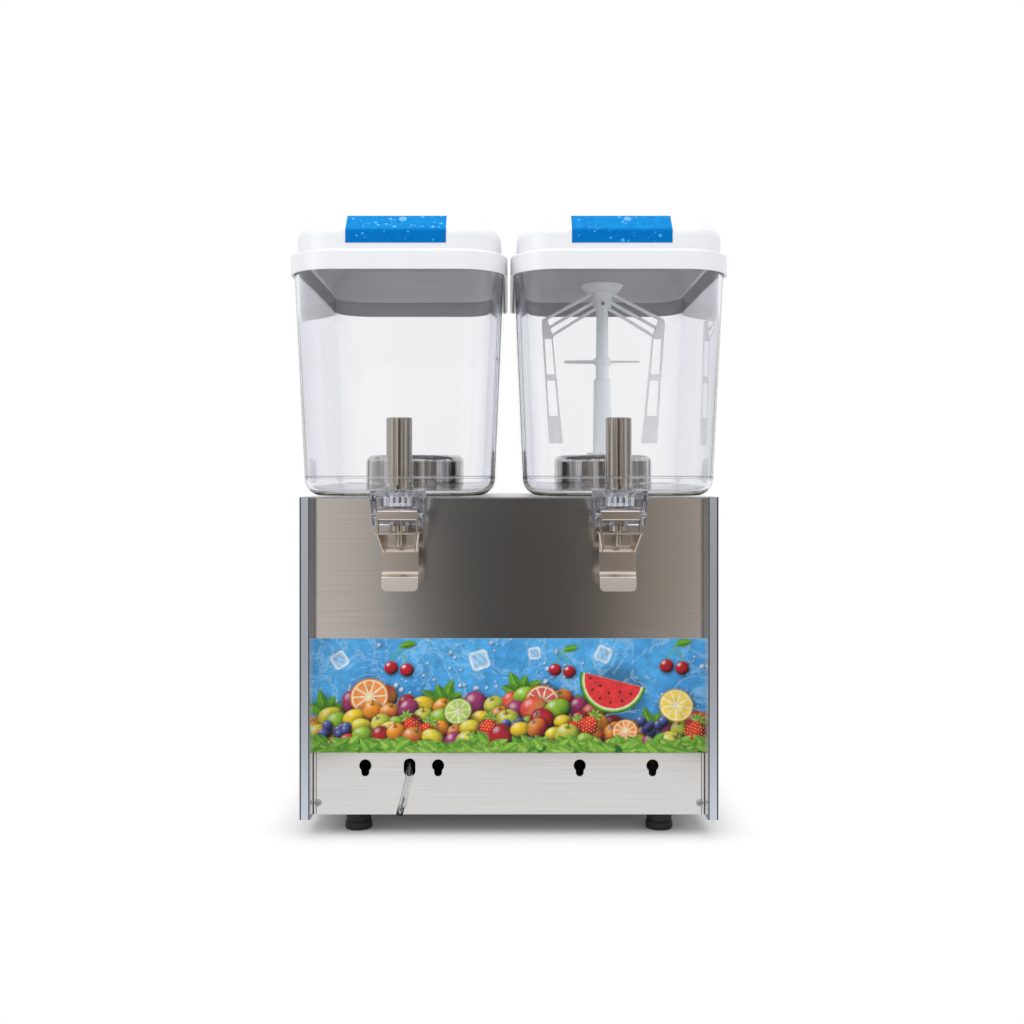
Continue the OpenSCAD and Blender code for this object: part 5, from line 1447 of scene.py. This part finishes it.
# Tones of the room round the machine, by the sine of their angle from straight ahead
ROOM_TONES = (
    (-1.0, (0.55, 0.55, 0.55)), (-0.82, (0.88, 0.88, 0.88)), (-0.66, (0.19, 0.17, 0.15)),
    (-0.52, (0.62, 0.54, 0.46)), (-0.42, (0.15, 0.135, 0.12)), (-0.34, (0.80, 0.78, 0.75)),
    (-0.26, (0.70, 0.63, 0.58)), (-0.19, (0.60, 0.56, 0.54)), (-0.12, (0.10, 0.10, 0.095)),
    (0.0, (0.07, 0.068, 0.065)), (0.11, (0.08, 0.074, 0.068)), (0.19, (0.32, 0.275, 0.235)),
    (0.26, (0.40, 0.35, 0.32)), (0.34, (0.75, 0.72, 0.68)), (0.42, (0.15, 0.135, 0.12)),
    (0.52, (0.62, 0.54, 0.46)), (0.66, (0.19, 0.17, 0.15)), (0.82, (0.82, 0.82, 0.82)), (1.0, (0.32, 0.32, 0.32)),
)
CEILING = (0.93, 0.95, 0.98, 1)
CEILING_RISE = (0.45, 1.0)
ROOM_R = 1.7
ROOM_OUTLINE = ((0.55, 0, 0.002), (ROOM_R, 0, 0.002), (ROOM_R, 0, 2.6))
BAND_Z = (0.24, 0.70)
BAND_STARTS = (0, 130)
BAND_ANGLE = 50
FLOOR_HALF = 6
SHADOW_HALF = (0.195, 0.135)
SHADOW_Y = 0.06
SHADOW_FADE = (-0.006, 0.07)
LAMPS = (
    ("top_softbox", (0.0, -0.3, 1.9), (0, 0, 0.3), 1.8, 18),
    ("left_softbox", (-1.6, -1.1, 1.1), (0, 0, 0.3), 1.1, 11),
    ("right_softbox", (1.7, -0.9, 1.0), (0, 0, 0.3), 1.1, 8),
    ("front_fill", (0.0, -2.3, 0.30), (0, 0, 0.4), 1.6, 9),
)


def stage_object(name, bm, material):
    obj = placed(name, bm, material)
    return obj


def seen_rays(tree):
    """1 for what the camera, a reflection or a clear piece sees."""
    ray = add_node(tree, "LightPath").outputs
    either = maths(tree, "MAXIMUM", ray["Is Glossy Ray"], ray["Is Transmission Ray"])
    return maths(tree, "MAXIMUM", ray["Is Camera Ray"], either)


def past(tree, value, limit):
    """How far a value lies beyond plus or minus a limit."""
    return maths(tree, "MAXIMUM", minus(tree, maths(tree, "ABSOLUTE", value), limit), 0.0)


def add_floor():
    """A pale floor that fades into the white backdrop away from the machine's shadow."""
    mat, tree, shader = new_material("pale floor", Roughness=0.7, Base_Color=(0.86, 0.86, 0.86, 1))
    place = split(tree, object_place(tree))
    aside = past(tree, place[0], SHADOW_HALF[0])
    ahead = past(tree, minus(tree, place[1], SHADOW_Y), SHADOW_HALF[1])
    away = maths(tree, "SQRT", maths(tree, "ADD", times(tree, aside, aside), times(tree, ahead, ahead)))
    fade = times(tree, seen_rays(tree), ranged(tree, away, *SHADOW_FADE))
    mix_shader(tree, fade, shader, add_node(tree, "Emission"), "Material Output")
    bm = bmesh.new()
    bmesh.ops.create_grid(bm, x_segments=1, y_segments=1, size=FLOOR_HALF)
    stage_object("floor", bm, mat)


def room_material():
    mat = bpy.data.materials.new("room tones")
    mat.use_nodes = True
    tree = mat.node_tree
    place = object_place(tree)
    ahead = vectors(tree, "NORMALIZE", vectors(tree, "MULTIPLY", place, by=(1, 1, 0)))
    tones = add_node(tree, "ValToRGB")
    tones.color_ramp.interpolation = "EASE"
    points = tones.color_ramp.elements
    for _ in range(len(ROOM_TONES) - 2):
        points.new(0.5)
    for point, (sine, tone) in zip(points, ROOM_TONES):
        point.position = (sine + 1) / 2
        point.color = (*tone, 1)
    tree.links.new(scaled(tree, split(tree, ahead)[0], 0.5, 0.5), tones.inputs[0])
    rise = ranged(tree, split(tree, place)[2], *CEILING_RISE)
    glow = add_node(tree, "Emission")
    tree.links.new(mix_colour(tree, rise, tones.outputs[0], CEILING), glow.inputs[0])
    bounced = maths(tree, "MINIMUM", add_node(tree, "LightPath").outputs["Glossy Depth"], 1.0)
    mix_shader(tree, bounced, add_node(tree, "BsdfTransparent"), glow, "Material Output")
    return mat


def add_room_screen():
    """A half ring of room tones, with a floor skirt and a low band at each side, that only reflections see."""
    bm = bmesh.new()
    verts = [bm.verts.new(p) for p in ROOM_OUTLINE]
    edges = [bm.edges.new(pair) for pair in zip(verts, verts[1:])]
    swept(bm, verts + edges, 180, 64, up=-1)
    for start in BAND_STARTS:
        turn = Matrix.Rotation(math.radians(start), 3, "Z")
        band = [bm.verts.new(turn @ Vector((ROOM_R, 0, z))) for z in BAND_Z]
        swept(bm, band + [bm.edges.new(band)], BAND_ANGLE, 24)
    screen = stage_object("room_screen", bm, room_material())
    screen.visible_camera = False
    screen.visible_diffuse = False
    screen.visible_shadow = False


def add_light():
    """A white backdrop over soft even light, and four area lamps."""
    world = bpy.data.worlds.new("studio")
    SCENE.world = world
    world.use_nodes = True
    tree = world.node_tree
    back, shown = tree.nodes["Background"], add_node(tree, "Background")
    feed(tree, back, ((0, (0.97, 0.98, 1.0, 1)), (1, 0.5)))
    shown.inputs[0].default_value = (1, 1, 1, 1)
    mix_shader(tree, seen_rays(tree), back, shown, "World Output")
    for name, place, aim, size, power in LAMPS:
        lamp = bpy.data.lights.new(name, "AREA")
        lamp.size = size
        lamp.energy = power
        obj = bpy.data.objects.new(name, lamp)
        obj.location = place
        obj.rotation_euler = (Vector(aim) - Vector(place)).to_track_quat("-Z", "Y").to_euler()
        obj.visible_glossy = name != "front_fill"
        SCENE.collection.objects.link(obj)


# Finishes of the solids that show as they are

PLAIN = {
    "base_pan": ZINC, "left_tank_seal": SILICONE, "right_tank_seal": SILICONE, "left_evaporator": COPPER,
    "right_evaporator": COPPER, "stand_tube_bush": BRONZE, "stirrer_motor": ZINC, "stirrer_bracket": ZINC,
    "drive_shaft": BRIGHT_STEEL, "compressor": ENAMEL, "compressor_mounts": RUBBER, "condenser": FINS,
    "fan_shroud": BLACK, "fan_motor": ZINC, "fan": GREY, "discharge_pipe": COPPER, "suction_pipe": COPPER,
    "filter_drier": COPPER, "thermostat": NATURAL, "drain_spigot": NATURAL, "left_valve_seal": SILICONE,
    "right_valve_seal": SILICONE,
}


def dress_solids():
    for node, material in PLAIN.items():
        mesh = NODES[node].data
        mesh.materials.clear()
        mesh.materials.append(material)


add_camera()
add_hose()
add_floor()
add_room_screen()
add_light()
dress_solids()
add_posts()
add_panels()
add_picture()
add_feet()
add_screws()
add_controls()
add_stand_tube()
add_agitator()
for side, sign in SIDES:
    centre_x = sign * TANK_X
    add_tank(side, centre_x)
    add_lid(side, centre_x)
    add_label(side, centre_x, 11 + sign)
    add_lever(side, centre_x)
    add_valve(side, centre_x)
    add_dome(side, sign)
